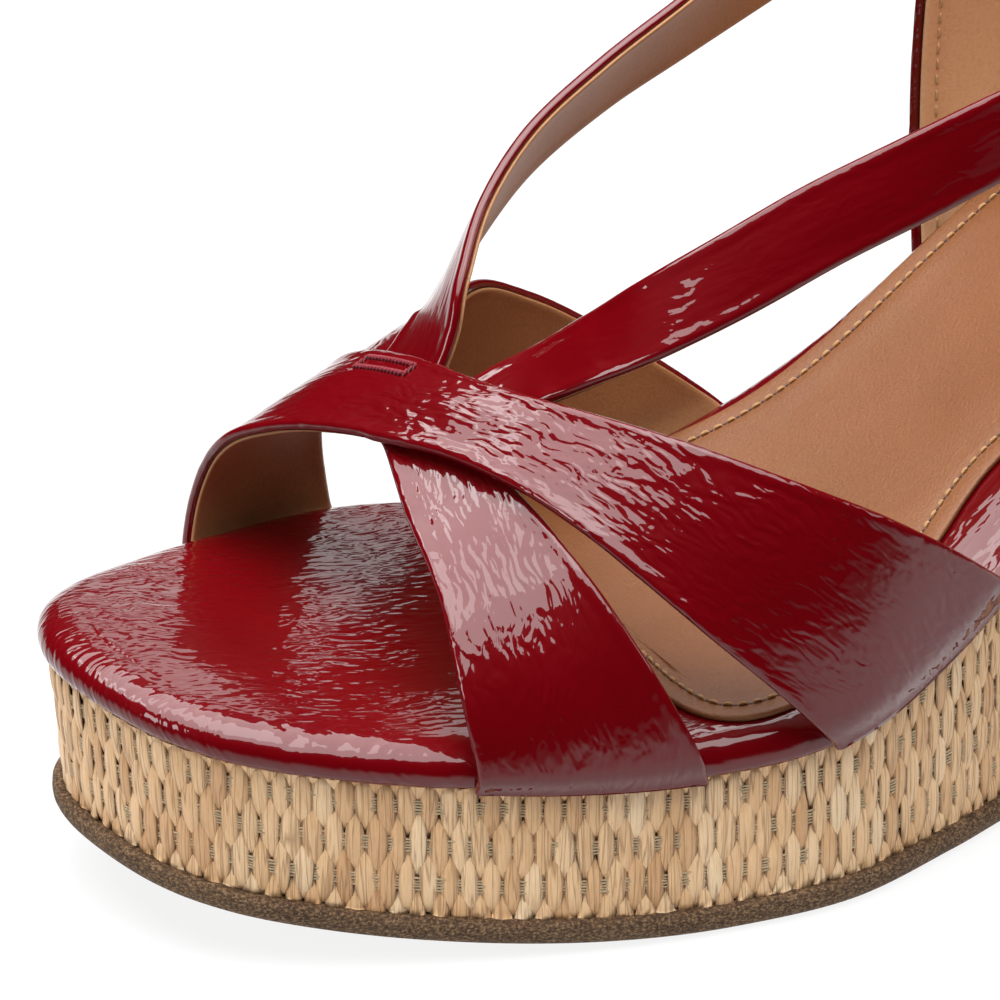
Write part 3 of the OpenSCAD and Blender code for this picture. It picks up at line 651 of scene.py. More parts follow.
# ------------------------------------------------------------------ instep straps
def tuck(y, th):
    d = unit(form(y, th - 4, .91) - form(y, th + 4, .91)) * (1 if th > 90 else -1)
    return [form(y, th, .91), d]


def wall_end(s, v):
    return [wall(s, v, 4.65), unit(wall(s, v + .06, 3.15) - wall(s, v - .06, 3.15))]


C_ALL = [tuck(45, 99), tuck(49.5, 99.5), tuck(54, 100)] + [
    [[-12.2, 58, 65.2], [.86, .1, .46]], [[-14.1, 61.2, 69], [.7, .02, .7]], [[-20, 68.8, 75], [.62, -.15, .77]],
    [[-25, 79, 81.3], [.58, -.22, .78]], [[-27.7, 91.5, 87], [.55, -.25, .8]], [[-29, 104, 92], [.48, -.28, .83]],
    [[-30, 117, 97.5], [.38, -.36, .85]], [[-30.5, 130, 103.5], [.24, -.42, .87]]] + [wall_end(22.05, .84), wall_end(21.4, .86)]
D_ALL = [tuck(48, 82), tuck(53.5, 82), tuck(58.6, 82)] + [
    [[8.9, 63.9, 67.2], [-.95, .2, .1]], [[14.2, 68.6, 72.2], [-.93, .2, .3]], [[19.4, 74.4, 77.4], [-.84, .03, .54]],
    [[23.2, 84.6, 83.2], [-.71, -.14, .69]], [[25.7, 96, 88.8], [-.59, -.22, .78]], [[28.2, 107.5, 93.5], [-.45, -.28, .85]],
    [[31, 119, 98.5], [-.3, -.35, .88]], [[33.4, 130, 103], [-.14, -.42, .9]]] + [wall_end(9.95, .84), wall_end(10.6, .86)]


def ribbon_frame(P, s, side):
    c = np.array([p[0] for p in P], float)
    w = np.array([p[1] for p in P], float)
    x = curve(c, s)
    t = unit(curve(c, np.minimum(s + .01, 1)) - curve(c, np.maximum(s - .01, 0)))
    wd = unit(curve(w, s))
    n = unit(np.cross(wd, t)) * side
    w2 = np.cross(n, t)
    w2 = unit(w2 * np.sign((w2 * wd).sum(-1, keepdims=True)))
    return x, t, n, w2


def instep(name, P, wide, side, rows, ns, node, mat, seed=None, m=0.0, start=0.0):
    s = np.linspace(max(m, start), 1 - m, ns)
    x, t, n, w2 = ribbon_frame(P, s, side)
    crown = .5 - .35 * np.clip((s - .75) / .12, 0, 1)
    A, N = place_rows(rows, np.full(ns, wide))
    a = A - wide / 2
    h = .9 + N[None] - crown[:, None] * (a / (wide / 2)) ** 2
    Pt = x[:, None] + w2[:, None] * a[..., None] + n[:, None] * h[..., None]
    V, F = loft(Pt)
    along = np.concatenate([[0], np.cumsum(np.linalg.norm(np.diff(x, axis=0), axis=1))])
    st = np.stack([np.repeat(along[:, None], len(rows), 1).ravel(), A.ravel()], 1)
    ob = add(name, V, F, "shoe", mat, node, {"st": st})
    fix(ob)
    if seed is not None:
        push(ob, ripples(st, .33, seed))
    return ob


instep("strap_c_skin", C_ALL, 14, 1, section_outer(26), 380, ["strap_c_outer"], SOFT_PATENT, 41, .0, .055)
instep("strap_c_lining_skin", C_ALL, 14, 1, section_lining(8), 160, ["strap_c_lining"], LINING, None, .004, .056)
instep("strap_d_skin", D_ALL, 11.3, -1, section_outer(24), 380, ["strap_d_outer"], SOFT_PATENT, 53, .0, .055)
instep("strap_d_lining_skin", D_ALL, 11.3, -1, section_lining(8), 160, ["strap_d_lining"], LINING, None, .004, .056)


# ------------------------------------------------------------------ footbed cover
ROLL_L = [[0, 5], [50, 5], [70, 4.4], [80, 4], [95, 6.5], [112, 12], [126, 13], [145, 9], [165, 5], [240, 4.5]]
ROLL_M = [[0, 5], [70, 4.5], [100, 4], [120, 4], [140, 3.2], [165, 4], [240, 4.5]]


def footbed():
    ring = Ring(36)
    N, half = ring.N, ring.N // 2
    i = np.arange(N)
    y = ring.p[:, 1]
    roll = np.where(i <= half, tab(ROLL_L, y), tab(ROLL_M, y))

    def rings(t):
        """Rows from the lower edge to the flat top, t is the depth below the outer face."""
        out = []
        low = [(1.5 + t, .06), (.85 + t, .10), (.36 + t, .42), (.08 + t, .95)]
        fl = flare(ring.p[:, 1], 1.0)
        for inn, g in low:
            p = ring.inset(inn - fl)
            out.append(np.concatenate([p, (H(p[:, 1]) + g)[:, None]], 1))
        for ph in np.linspace(0, 90, 14):
            c, s = math.cos(math.radians(ph)), math.sin(math.radians(ph))
            p = ring.inset(t + (roll - t) * (1 - c) - fl * c)
            g = 1.6 + (4.2 - t) * s
            out.append(np.concatenate([p, (H(p[:, 1]) + g)[:, None]], 1))
        return out

    def patch(t, M_=110, K0=9):
        R = rings(t)
        V = [r for r in R]
        base = np.concatenate(V)
        inner = R[-1]
        u = np.linspace(0, 1, M_ + 2)[1:-1]
        rows = []
        for k in range(K0, half):
            a, b = inner[k], inner[N - k]
            q = a[None] * (1 - u[:, None]) + b[None] * u[:, None]
            rows.append(q)
        mid = np.array(rows)
        g = 5.8 - t
        yy = mid[..., 1]
        crown = .75 * (1 - (2 * u[None] - 1) ** 2) * (1 - smooth(18, 60, yy)) * smooth(2, 14, yy)
        mid[..., 2] = H(yy) + g + crown
        F = [grid_faces(len(R), N, wrap_b=True)]
        b0 = (len(R) - 1) * N
        m0 = len(base)
        F.append(grid_faces(half - K0, M_, base=m0))
        ext = []
        for k in range(half - K0 - 1):
            ext.append([b0 + k + K0, b0 + k + K0 + 1, m0 + (k + 1) * M_, m0 + k * M_])
            ext.append([m0 + k * M_ + M_ - 1, m0 + (k + 1) * M_ + M_ - 1, b0 + N - k - K0 - 1, b0 + N - k - K0])
        # one face closes the short flat stretch at the very tip of the toe, a fan closes the heel end
        tri = [[b0 + k for k in range(K0 + 1)] + [m0 + j for j in range(M_)] + [b0 + N - k for k in range(K0, 0, -1)]]
        tip, k = b0 + half, half - K0 - 1
        row = [tip - 1] + [m0 + k * M_ + j for j in range(M_)] + [tip + 1]
        tri += [[tip, row[j + 1], row[j]] for j in range(len(row) - 1)]
        return np.concatenate([base, mid.reshape(-1, 3)]), np.concatenate(F + [np.array(ext)]), tri, m0

    Vo, F4, tri, m0 = patch(0)
    Vi, _, _, _ = patch(.8)
    n = len(Vo)
    edge = [[k, (k + 1) % N, (k + 1) % N + n, k + n] for k in range(N)]
    faces = [tuple(f) for f in F4] + [tuple(f) for f in tri] + [tuple(f[::-1] + n) for f in F4] + [tuple(x + n for x in f[::-1]) for f in tri] + edge
    V = np.concatenate([Vo, Vi])
    st = np.stack([V[:, 1], V[:, 0] + .6 * V[:, 2]], 1)
    ob = add("footbed_cover_skin", V, faces, "shoe", PATENT, ["footbed_cover"], {"st": st})
    fix(ob)
    d = ripples(st, 1.0, 67)
    # under the sock lining the top stays flat
    flat = smooth(58, 66, V[:, 1]) * (np.arange(len(V)) % n >= m0)
    # soft pleats where the cover is pulled round the rim
    a = np.concatenate([ring.s] * 18)
    pleat = np.zeros(len(V))
    k = len(a)
    lump = noise(np.stack([a / 4.6, np.zeros(k)], 1), 5) * .10 + noise(np.stack([a / 2.3, np.ones(k)], 1), 6) * .04
    fade = np.repeat(np.clip(1 - np.abs(np.arange(18) - 5) / 9.0, 0, 1), ring.N)
    pleat[:k] = lump * fade
    pleat[n:n + k] = lump * fade
    push(ob, (d + pleat) * (1 - flat))
    return ob


footbed()


# ------------------------------------------------------------------ sock lining
SOCK = np.array([[-31.5, 63.5], [-21, 64], [-8, 65.6], [6, 67.6], [20, 68.4], [32, 68.6], [40, 71], [43.6, 77], [42.8, 87], [36.6, 99],
                 [28.4, 112], [22.6, 123], [21.4, 135], [23.6, 148], [25.6, 165], [25.6, 185], [24.4, 205], [20.4, 222], [12, 233], [0, 236],
                 [-12, 233], [-19.6, 222], [-23, 205], [-24.4, 185], [-24.4, 165], [-24.6, 150], [-23.2, 136], [-21.2, 122], [-20.9, 111],
                 [-22.7, 100], [-26.4, 84], [-30.8, 71]], float)


def sock():
    n = 22
    P = closed(SOCK, n)
    K = len(P)
    t = unit(np.roll(P, -1, 0) - np.roll(P, 1, 0))
    inn = np.stack([-t[:, 1], t[:, 0]], 1)
    prof = [(.25, 5.84), (.05, 5.95), (0, 6.25), (.03, 6.5), (.14, 6.68), (.4, 6.78), (.9, 6.8), (1.5, 6.8), (2.1, 6.77), (2.6, 6.66), (3.1, 6.62), (3.6, 6.66),
            (4.1, 6.77), (4.8, 6.8)]
    R = [P + inn * a for a, _ in prof]
    V = [np.concatenate([r, (H(r[:, 1]) + g)[:, None]], 1) for r, (_, g) in zip(R, prof)]
    # the inner ring is filled with rows between its two sides; the border points are the ring's own
    Q = R[-1]
    i1, i2 = 6 * n, 19 * n
    nr, nc = i2 - i1, i1 + 1
    fr, lat = Q[:i1 + 1], Q[i1:i2]
    med = np.vstack([Q[0:1], Q[:i2:-1]])[:nr]
    u = np.linspace(0, 1, nc)
    v = np.arange(nr) / nr
    G = med[:, None] * (1 - u[None, :, None]) + lat[:, None] * u[None, :, None] + ((1 - v) ** 8)[:, None, None] * (
        fr[None] - (med[0][None] * (1 - u[:, None]) + lat[0][None] * u[:, None])[None])
    base = np.concatenate(V)
    b1 = (len(V) - 1) * K
    IDX = -np.ones((nr, nc), int)
    IDX[0] = b1 + np.arange(nc)
    IDX[:, -1] = b1 + i1 + np.arange(nr)
    IDX[:, 0] = b1 + np.mod(-np.arange(nr), K)
    inner = IDX < 0
    IDX[inner] = len(base) + np.arange(inner.sum())
    uu = np.repeat(u[None], nr, 0)
    vv = np.repeat(v[:, None], nc, 1)
    # slight hollows left by the last
    zc = 6.8 + .22 * noise(np.stack([G[..., 0].ravel() / 14, G[..., 1].ravel() / 22], 1), 9).reshape(nr, nc) * smooth(0, .12, uu) * smooth(0, .12, 1 - uu) * smooth(0, .05, vv)
    mid = np.concatenate([G, (H(G[..., 1]) + zc)[..., None]], -1)[inner]
    allv = np.concatenate([base, mid])
    F = [tuple(f) for f in grid_faces(len(V), K, wrap_b=True)]
    F += [(IDX[a, b], IDX[a + 1, b], IDX[a + 1, b + 1], IDX[a, b + 1]) for a in range(nr - 1) for b in range(nc - 1)]
    tip = b1 + i2
    F += [(IDX[-1, b], tip, IDX[-1, b + 1]) for b in range(nc - 1)]
    # underside
    bi = len(allv)
    under = np.concatenate([P + inn * .8, (H((P + inn * .8)[:, 1]) + 5.84)[:, None]], 1)
    allv = np.concatenate([allv, under])
    F += [(k, (k + 1) % K, bi + (k + 1) % K, bi + k) for k in range(K)]
    ob = add("sock_lining_skin", allv, F, "shoe", TAN, ["sock_lining"], {"st": allv[:, :2]})
    fix(ob)
    co = allv
    push(ob, .035 * noise(np.stack([co[:, 0] / 3.2, co[:, 1] / 4.4], 1), 15))
    return P, inn


SOCK_P, SOCK_IN = sock()


# ------------------------------------------------------------------ stitches
def stitches(name, path, nrm, pitch, length, radius, nodes, mat, body="shoe", closed_=True, holes=True, rise=.22, slant=0.0):
    """A row of thread: each stitch is a short bent bead that dives into the leather at both ends."""
    path, nrm = np.asarray(path, float), np.asarray(nrm, float)
    if closed_:
        path, nrm = np.vstack([path, path[:1]]), np.vstack([nrm, nrm[:1]])
    d = np.concatenate([[0], np.cumsum(np.linalg.norm(np.diff(path, axis=0), axis=1))])
    cnt = max(1, int(round(d[-1] / pitch)))
    V, F, ST, HOLE_SHADE = [], [], [], []
    ns, na = 7, 8
    base = 0

    def at(x):
        x = np.mod(x, d[-1]) if closed_ else np.clip(x, 0, d[-1])
        p = np.stack([np.interp(x, d, path[:, k]) for k in range(3)], -1)
        n_ = unit(np.stack([np.interp(x, d, nrm[:, k]) for k in range(3)], -1))
        return p, n_

    for k in range(cnt):
        c = (k + .5) * d[-1] / cnt
        x = c + np.linspace(-.5, .5, ns) * length
        p, n_ = at(x)
        t = unit(np.gradient(p, axis=0))
        b = np.cross(n_, t)
        f = np.linspace(-1, 1, ns)
        p = p + n_ * (rise * (1 - f ** 4) - radius * 1.1 * np.abs(f) ** 6)[:, None] + b * (slant * f)[:, None]
        r = radius * np.sqrt(np.maximum(1 - np.abs(f) ** 5, 0.02))
        r *= 1 + .06 * noise(np.array([[k * 1.7, 3.0]]), 2)[0]
        ang = np.arange(na) * 2 * math.pi / na
        ringp = p[:, None] + (n_[:, None] * np.sin(ang)[None, :, None] + b[:, None] * np.cos(ang)[None, :, None]) * r[:, None, None]
        V.append(ringp.reshape(-1, 3))
        ST.append(np.stack([np.repeat(x[:, None] * 2.2, na, 1).ravel(), np.repeat((ang * radius * 1.6)[None], ns, 0).ravel()], 1))
        HOLE_SHADE.append(np.zeros(ns * na))
        F += [tuple(q) for q in grid_faces(ns, na, wrap_b=True, base=base)]
        F += [tuple(range(base + na - 1, base - 1, -1)), tuple(range(base + (ns - 1) * na, base + ns * na))]
        base += ns * na
        # a deep brown ring at each stitch hole: painted shade for the hole
        if holes:
            hx = (k) * d[-1] / cnt
            p, n_ = at(np.array([hx - .01, hx, hx + .01]))
            t = unit(p[2] - p[0])
            b = np.cross(n_[1], t)
            la = [(-.6, .35), (-.15, 1), (.12, 1), (.2, .3)]
            ringp = np.array([p[1] + n_[1] * (.05 * z) + (t * np.cos(a) * .30 + b * np.sin(a) * .24) * w for z, w in la for a in ang])
            V.append(ringp)
            ST.append(np.zeros((len(ringp), 2)))
            HOLE_SHADE.append(np.ones(len(ringp)))
            F += [tuple(q) for q in grid_faces(len(la), na, wrap_b=True, base=base)]
            F += [tuple(range(base + na - 1, base - 1, -1)), tuple(range(base + (len(la) - 1) * na, base + len(la) * na))]
            base += len(la) * na
    ob = add(name, np.concatenate(V), F, body, mat, nodes, {"st": np.concatenate(ST), "hole_shade": np.concatenate(HOLE_SHADE)})
    fix(ob)
    return ob


sp = SOCK_P + SOCK_IN * 3.1
stitch_path = np.concatenate([sp, (H(sp[:, 1]) + 6.66)[:, None]], 1)
sl_ = (H(sp[:, 1] + .5) - H(sp[:, 1] - .5))
stitches("sock_stitching_thread", stitch_path, unit(np.stack([0 * sl_, -sl_, 1 + 0 * sl_], 1)), 2.0, 1.55, .23, ["sock_stitching"], THREAD)


def tack():
    """A narrow stitched box on strap A, sunk into the leather."""
    L = 40
    th = np.concatenate([np.linspace(94, 106, L), np.linspace(106, 106, 8), np.linspace(106, 94, L), np.linspace(94, 94, 8)])
    w = np.concatenate([np.full(L, .73), np.linspace(.73, .87, 8), np.full(L, .87), np.linspace(.87, .73, 8)])
    y = tab(A_FRONT, th) * (1 - w) + tab(A_REAR, th) * w
    lift = tab(A_LIFT, th) - tab(A_SETTLE, th) * (1 - smooth(0, .7, w))
    p = form(y, th, lift)
    q = form(y, th, lift + 1)
    stitches("bar_tack_thread", p, unit(q - p), .72, .92, .27, ["bar_tack"], REDTHREAD, rise=.2, slant=.36)


tack()


# ------------------------------------------------------------------ raffia band
def raffia():
    ring = Ring(40)
    s_len = ring.length
    cols = int(round(s_len / 2.8 / 2)) * 2
    pitch = s_len / cols
    x_s = np.concatenate([ring.s, [s_len]])
    PX, PY = np.append(ring.p[:, 0], ring.p[0, 0]), np.append(ring.p[:, 1], ring.p[0, 1])
    NX, NY = np.append(ring.n[:, 0], ring.n[0, 0]), np.append(ring.n[:, 1], ring.n[0, 1])

    def at(s):
        s = np.mod(s, s_len)
        return (np.interp(s, x_s, PX), np.interp(s, x_s, PY), np.interp(s, x_s, NX), np.interp(s, x_s, NY))

    def pos(s, h, depth):
        """s round the sole, h up from the outsole, depth in from the outline."""
        px, py, nx, ny = at(s)
        depth = depth - flare(py, np.clip(h / 19.6, 0, 1))
        x, y = px - nx * depth, py - ny * depth
        return np.stack([x, y, spring(py) + 3.62 + h], -1)

    def height(s):
        _, py, _, _ = at(s)
        return H(py) - .1 - spring(py) - 3.62

    V, F, ST, TI, END_SHADE = [], [], [], [], []
    base = 0
    nt, nx_ = 10, 5
    t = np.linspace(-1, 1, nt)
    t = np.sign(t) * np.abs(t) ** .85
    xx = np.array([-1, -.55, 0, .55, 1])
    step = 11.6
    pair = int(round(s_len / 1.375 / 2)) * 2
    gap = s_len / pair
    T, X = np.meshgrid(t, xx, indexing="ij")
    quads = grid_faces(nt, nx_)
    back = np.array([[i * nx_, i * nx_ + nx_ - 1, (i + 1) * nx_ + nx_ - 1, (i + 1) * nx_] for i in range(nt - 1)])
    k0 = 0
    ends_ = []
    for c in range(pair):
        s0 = c * gap
        top = float(height(s0))
        odd = c % 2
        for r in range(-1, int(top / step) + 3):
            hc = r * step + odd * step / 2 + 4.6 + .5 * RNG.normal() * .55
            k0 += 1
            if hc - 4.6 > top - .4 or hc + 4.6 < .4:
                continue
            a, b, cc, d_, e_, g_ = RNG.uniform(-1, 1, 6)
            half = 5.35 + .45 * b
            wmax = 1.27 + .20 * cc
            wid = wmax * np.clip(1 - np.abs(t) ** 1.9, 0, 1) ** .78 + .10
            belly = .12 * g_
            arch = np.clip(1 - np.abs(t) ** 2.4, 0, 1) ** .75
            out = 1.02 * arch - .30
            S = s0 + X * wid[:, None] * (1 + .10 * a * T) + .16 * d_ * T + .20 * a * (1 - T * T) * .5
            Hh = hc + (T + belly * (1 - T * T) * .4) * half
            # folded strand: a ridge off the middle, and a second soft fold
            ridge = 1 - .55 * np.abs(X - .25 * d_) ** 1.5 - .10 * np.sin((X * 2.4 + g_ * 2) * 2.0)
            dep = 1.80 - np.maximum(out[:, None] * np.clip(ridge, 0, 1.05), -.3) - .05 * e_
            Hc = np.clip(Hh, -.02, height(s0))
            Pf = pos(S, Hc, dep)
            V.append(Pf.reshape(-1, 3))
            F.append(quads + base)
            F.append(back + base)
            e0 = (nt - 1) * nx_
            for q in range(1, nx_ - 1):
                ends_.append((base, base + q, base + q + 1))
                ends_.append((base + e0, base + e0 + q + 1, base + e0 + q))
            base += nt * nx_
            u0 = k0 * 7.13
            ST.append(np.stack([(X * wid[:, None]).ravel() + u0, (T * half).ravel() + u0 * 1.7], 1))
            TI.append(np.full(nt * nx_, np.clip(.50 + .24 * RNG.normal(), 0, 1)))
            # how close each point is to the strand's end: it carries the painted shade where the strand dips under the
            # cords
            END_SHADE.append(np.clip((np.abs(T.ravel()) - .70) / .30, 0, 1) ** 1.4)
    faces = [tuple(f) for f in np.concatenate(F)] + ends_
    ob = add("raffia_leaves", np.concatenate(V), faces, "shoe", RAFFIA, ["raffia_band"],
             {"st": np.concatenate(ST), "tint": np.concatenate(TI), "tip": np.concatenate(END_SHADE)})
    fix(ob)

    # the cross cords that the strands pass over and under
    V, F = [], []
    base = 0
    m = 560
    sg = np.arange(m) * s_len / m
    hs = height(sg)
    na = 4
    ang = (np.arange(na) + .5) * 2 * math.pi / na
    levels = []
    k = 0
    while k * step / 2 - 1.2 < hs.max():
        levels += [k * step / 2 - 1.2 + q for q in (-.85, -.42, 0, .42, .85)]
        k += 1
    idx = np.arange(m)
    for li, h in enumerate(levels):
        ok = (hs > h + .3) & (h > .15)
        if not ok.any():
            continue
        if ok.all():
            run = [np.append(idx, 0)]
        else:
            first = int(np.argmin(ok))
            order = np.roll(idx, -first)
            run, cur = [], []
            for q in order:
                if ok[q]:
                    cur.append(q)
                elif cur:
                    run.append(np.array(cur))
                    cur = []
            if cur:
                run.append(np.array(cur))
        for rr in run:
            if len(rr) < 4:
                continue
            s_ = sg[rr]
            whole = len(rr) == m + 1
            wob = .05 * np.sin(s_ * 1.9 + li * 2.1) + .04 * np.sin(s_ * .53 + li)
            rad = .17
            P = pos(s_[:, None] + 0 * ang[None], h + wob[:, None] + rad * np.sin(ang[None]), (1.52 - wob)[:, None] - rad * np.cos(ang[None]))
            n_ = len(rr) - (1 if whole else 0)
            P = P[:n_]
            V.append(P.reshape(-1, 3))
            F += [tuple(f) for f in grid_faces(n_, na, wrap_a=whole, wrap_b=True, base=base)]
            if not whole:
                F += [tuple(range(base + na - 1, base - 1, -1)), tuple(range(base + (n_ - 1) * na, base + n_ * na))]
            base += n_ * na
    ob = add("raffia_cords", np.concatenate(V), F, "shoe", WEFT)
    fix(ob)

    # a backing sheet behind the weave: its deep brown is painted shade for the gaps between the strands
    r2 = Ring(12)
    rows = []
    for dep, hh in ((1.95, 0), (1.95, 1), (2.35, 1), (2.35, 0)):
        p = r2.inset(dep - flare(r2.p[:, 1], hh))
        z0, z1 = spring(r2.p[:, 1]) + 3.64, H(r2.p[:, 1]) - .06
        rows.append(np.concatenate([p, (z0 + (z1 - z0) * hh)[:, None]], 1))
    P = np.array(rows)
    fcs = grid_faces(4, r2.N, wrap_a=True, wrap_b=True)
    ob = add("raffia_backing", P.reshape(-1, 3), fcs, "shoe", SHADE_BACKING)
    fix(ob)


raffia()


# ------------------------------------------------------------------ outsole
def outsole():
    ring = Ring(20)
    N = ring.N
    prof = [(3.2, 0.12), (1.6, .10), (.9, .16), (.4, .42), (.06, .95), (-.22, 1.6), (-.30, 2.2), (-.26, 2.9), (-.08, 3.35), (.25, 3.56), (.8, 3.6)]
    rows = []
    for a, g in prof:
        p = ring.inset(a)
        rows.append(np.concatenate([p, (spring(ring.p[:, 1]) + g)[:, None]], 1))
    V = np.concatenate(rows)
    F = [tuple(f) for f in grid_faces(len(prof), N, wrap_b=True)]
    half = N // 2
    # flat top and a grooved tread underneath, in rows between the two sides
    for k_end, top in ((0, False), (len(prof) - 1, True)):
        b0 = k_end * N
        edge = rows[k_end]
        M_ = 40
        u = np.linspace(0, 1, M_ + 2)[1:-1]
        mid = []
        for k in range(1, half):
            a, b = edge[k], edge[N - k]
            mid.append(a[None] * (1 - u[:, None]) + b[None] * u[:, None])
        mid = np.array(mid)
        if not top:
            yy = mid[..., 1]
            sq = np.abs(((yy / 6.4) % 1) - .5) * 2
            groove = smooth(.72, .9, sq) * smooth(.03, .08, u)[None] * smooth(.03, .08, 1 - u)[None]
            keep = (smooth(8, 14, yy) * (1 - smooth(104, 112, yy)) + smooth(146, 152, yy) * (1 - smooth(222, 228, yy)))
            mid[..., 2] = spring(yy) + .0 + .12 * 0 + .75 * groove * keep
        m0 = len(V)
        V = np.concatenate([V, mid.reshape(-1, 3)])
        F += [tuple(f) for f in grid_faces(half - 1, M_, base=m0)]
        for k in range(half - 2):
            F.append((b0 + k + 1, b0 + k + 2, m0 + (k + 1) * M_, m0 + k * M_))
            F.append((m0 + k * M_ + M_ - 1, m0 + (k + 1) * M_ + M_ - 1, b0 + N - k - 2, b0 + N - k - 1))
        for k, tip in ((0, b0), (half - 2, b0 + half)):
            row = [b0 + k + 1] + [m0 + k * M_ + j for j in range(M_)] + [b0 + N - k - 1]
            for j in range(len(row) - 1):
                F.append((tip, row[j], row[j + 1]))
    ob = add("outsole_skin", V, F, "shoe", RUBBER, ["outsole"])
    fix(ob)


outsole()


# ------------------------------------------------------------------ closed heel
def meet(d):
    """How far out a lining is drawn, at d mm from the front edge of the quarter."""
    return .85 * (1 - smooth(1.5, 12, d))


def wall_piece(name, s0, s1, o_in, o_out, v0, v1, ns, nv, node, mat, seed=None, front=None, st_scale=1.0):
    """A leather panel of the heel wall, with its edges rounded over; a lining lies against the outer leather at its front end."""
    r = (o_out - o_in) / 2
    mid = (o_out + o_in) / 2
    # section up the wall: outer face, over the top edge, down the inner face, round the lower edge
    v_in = np.linspace(0, 1, nv)
    s = np.linspace(s0, s1, ns)
    p0 = wall(s, v0, mid)
    p1 = wall(s, v1, mid)
    hgt = np.linalg.norm(p1 - p0, axis=1)
    lens = np.concatenate([[0], np.cumsum(np.linalg.norm(np.diff(wall(s, .8, mid), axis=0), axis=1))])
    k = 7
    arc = np.linspace(-90, 90, k)
    rows_v, rows_o = [], []
    for q in range(nv):
        rows_v.append(("f", q / (nv - 1)))
        rows_o.append(1.0)
    for a in arc[::-1][1:-1]:
        rows_v.append(("t", math.cos(math.radians(a))))
        rows_o.append(math.sin(math.radians(a)))
    for q in range(nv - 1, -1, -1):
        rows_v.append(("f", q / (nv - 1)))
        rows_o.append(-1.0)
    for a in arc[1:-1]:
        rows_v.append(("b", math.cos(math.radians(a))))
        rows_o.append(math.sin(math.radians(a)))
    cnt = len(rows_v)
    # thickness closes to nothing at both ends
    dist = np.minimum(lens, lens[-1] - lens)
    endk = np.sqrt(np.clip(1 - (1 - np.clip(dist / max(r, .01), 0, 1)) ** 2, 0.02, 1))
    Vv = np.empty((ns, cnt))
    Oo = np.empty((ns, cnt))
    for c, ((kind, q), o) in enumerate(zip(rows_v, rows_o)):
        pad = r / hgt
        if kind == "f":
            Vv[:, c] = v0 + pad * (v1 - v0) + (v1 - v0) * (1 - 2 * pad) * q
        elif kind == "t":
            Vv[:, c] = v1 - pad * (v1 - v0) * (1 - q)
        else:
            Vv[:, c] = v0 + pad * (v1 - v0) * (1 - q)
        Oo[:, c] = mid + r * o * endk
    if front is not None:
        Oo += meet(lens if front == 0 else lens[-1] - lens)[:, None]
    P = wall(s[:, None], Vv, Oo)
    V, F = loft(P)
    st = np.stack([np.repeat(lens[:, None], cnt, 1).ravel(), (Vv * hgt[:, None]).ravel()], 1)
    ob = add(name, V, F, "shoe", mat, node, {"st": st * st_scale})
    fix(ob)
    if seed is not None:
        push(ob, ripples(st, .9, seed))
    return ob


FS_L, FS_M = 9.75, 32 - 9.75
wall_piece("quarter_lateral_skin", FS_L, 16 - .34, 2.05, 3.15, 0, 1, 260, 70, ["quarter_lateral_outer"], PATENT, 71)
wall_piece("quarter_medial_skin", 16 + .34, FS_M, 2.05, 3.15, 0, 1, 260, 70, ["quarter_medial_outer"], PATENT, 83)
wall_piece("quarter_lateral_lining_skin", FS_L + .05, 16 - .37, .35, 1.15, .005, .99, 260, 40, ["quarter_lateral_lining"], WALL_LINING, front=0)
wall_piece("quarter_medial_lining_skin", 16 + .37, FS_M - .05, .35, 1.15, .005, .99, 260, 40, ["quarter_medial_lining"], WALL_LINING, front=1)
wall_piece("zip_tape_lateral_weave", 16 - .78, 16 - .055, 1.3, 1.9, .02, .985, 24, 60, ["zip_tape_lateral"], ZTAPE)
wall_piece("zip_tape_medial_weave", 16 + .055, 16 + .78, 1.3, 1.9, .02, .985, 24, 60, ["zip_tape_medial"], ZTAPE)


def quarter_threads():
    def path(s, v, o):
        p = wall(s, v, o)
        q = wall(s, v, o + 1)
        return p, unit(q - p)

    sets = []
    s = np.linspace(FS_L + .12, 16 - .42, 300)
    sets.append(path(s, np.full(300, .955), np.full(300, 3.17)))
    s = np.linspace(16 + .42, FS_M - .12, 300)
    sets.append(path(s, np.full(300, .955), np.full(300, 3.17)))
    v = np.linspace(.03, .955, 120)
    for s0 in (FS_L + .12, FS_M - .12, 16 - .42, 16 + .42):
        sets.append(path(np.full(120, s0), v, np.full(120, 3.17)))
    first = None
    for i, (p, n) in enumerate(sets):
        ob = stitches(f"quarter_thread_{i}", p, n, 2.4, 1.9, .24, ["quarter_stitching"] if i == 0 else (), REDTHREAD, closed_=False, holes=False, rise=.12)
    # the tan thread that shows on the inside, along the front edges and the top line
    k = 0
    for s0 in (FS_L + .16, FS_M - .16):
        p = wall(np.full(160, s0), np.linspace(.03, .96, 160), np.full(160, .33 + .85))
        q = wall(np.full(160, s0), np.linspace(.03, .96, 160), np.full(160, 1.33 + .85))
        stitches(f"lining_thread_{k}", p, unit(p - q), 2.4, 1.9, .22, (), THREAD, closed_=False, holes=False, rise=.10)
        k += 1
    for a, b in ((FS_L + .16, 16 - .95), (16 + .95, FS_M - .16)):
        s = np.linspace(a, b, 260)
        run = np.concatenate([[0], np.cumsum(np.linalg.norm(np.diff(wall(s, .955, .75), axis=0), axis=1))])
        o = .33 + meet((run if a < 16 - 1 else run[-1] - run) + 1.4)
        p = wall(s, np.full(260, .955), o)
        q = wall(s, np.full(260, .955), o + 1)
        stitches(f"lining_thread_{k}", p, unit(p - q), 2.4, 1.9, .22, (), THREAD, closed_=False, holes=False, rise=.10)
        k += 1


quarter_threads()


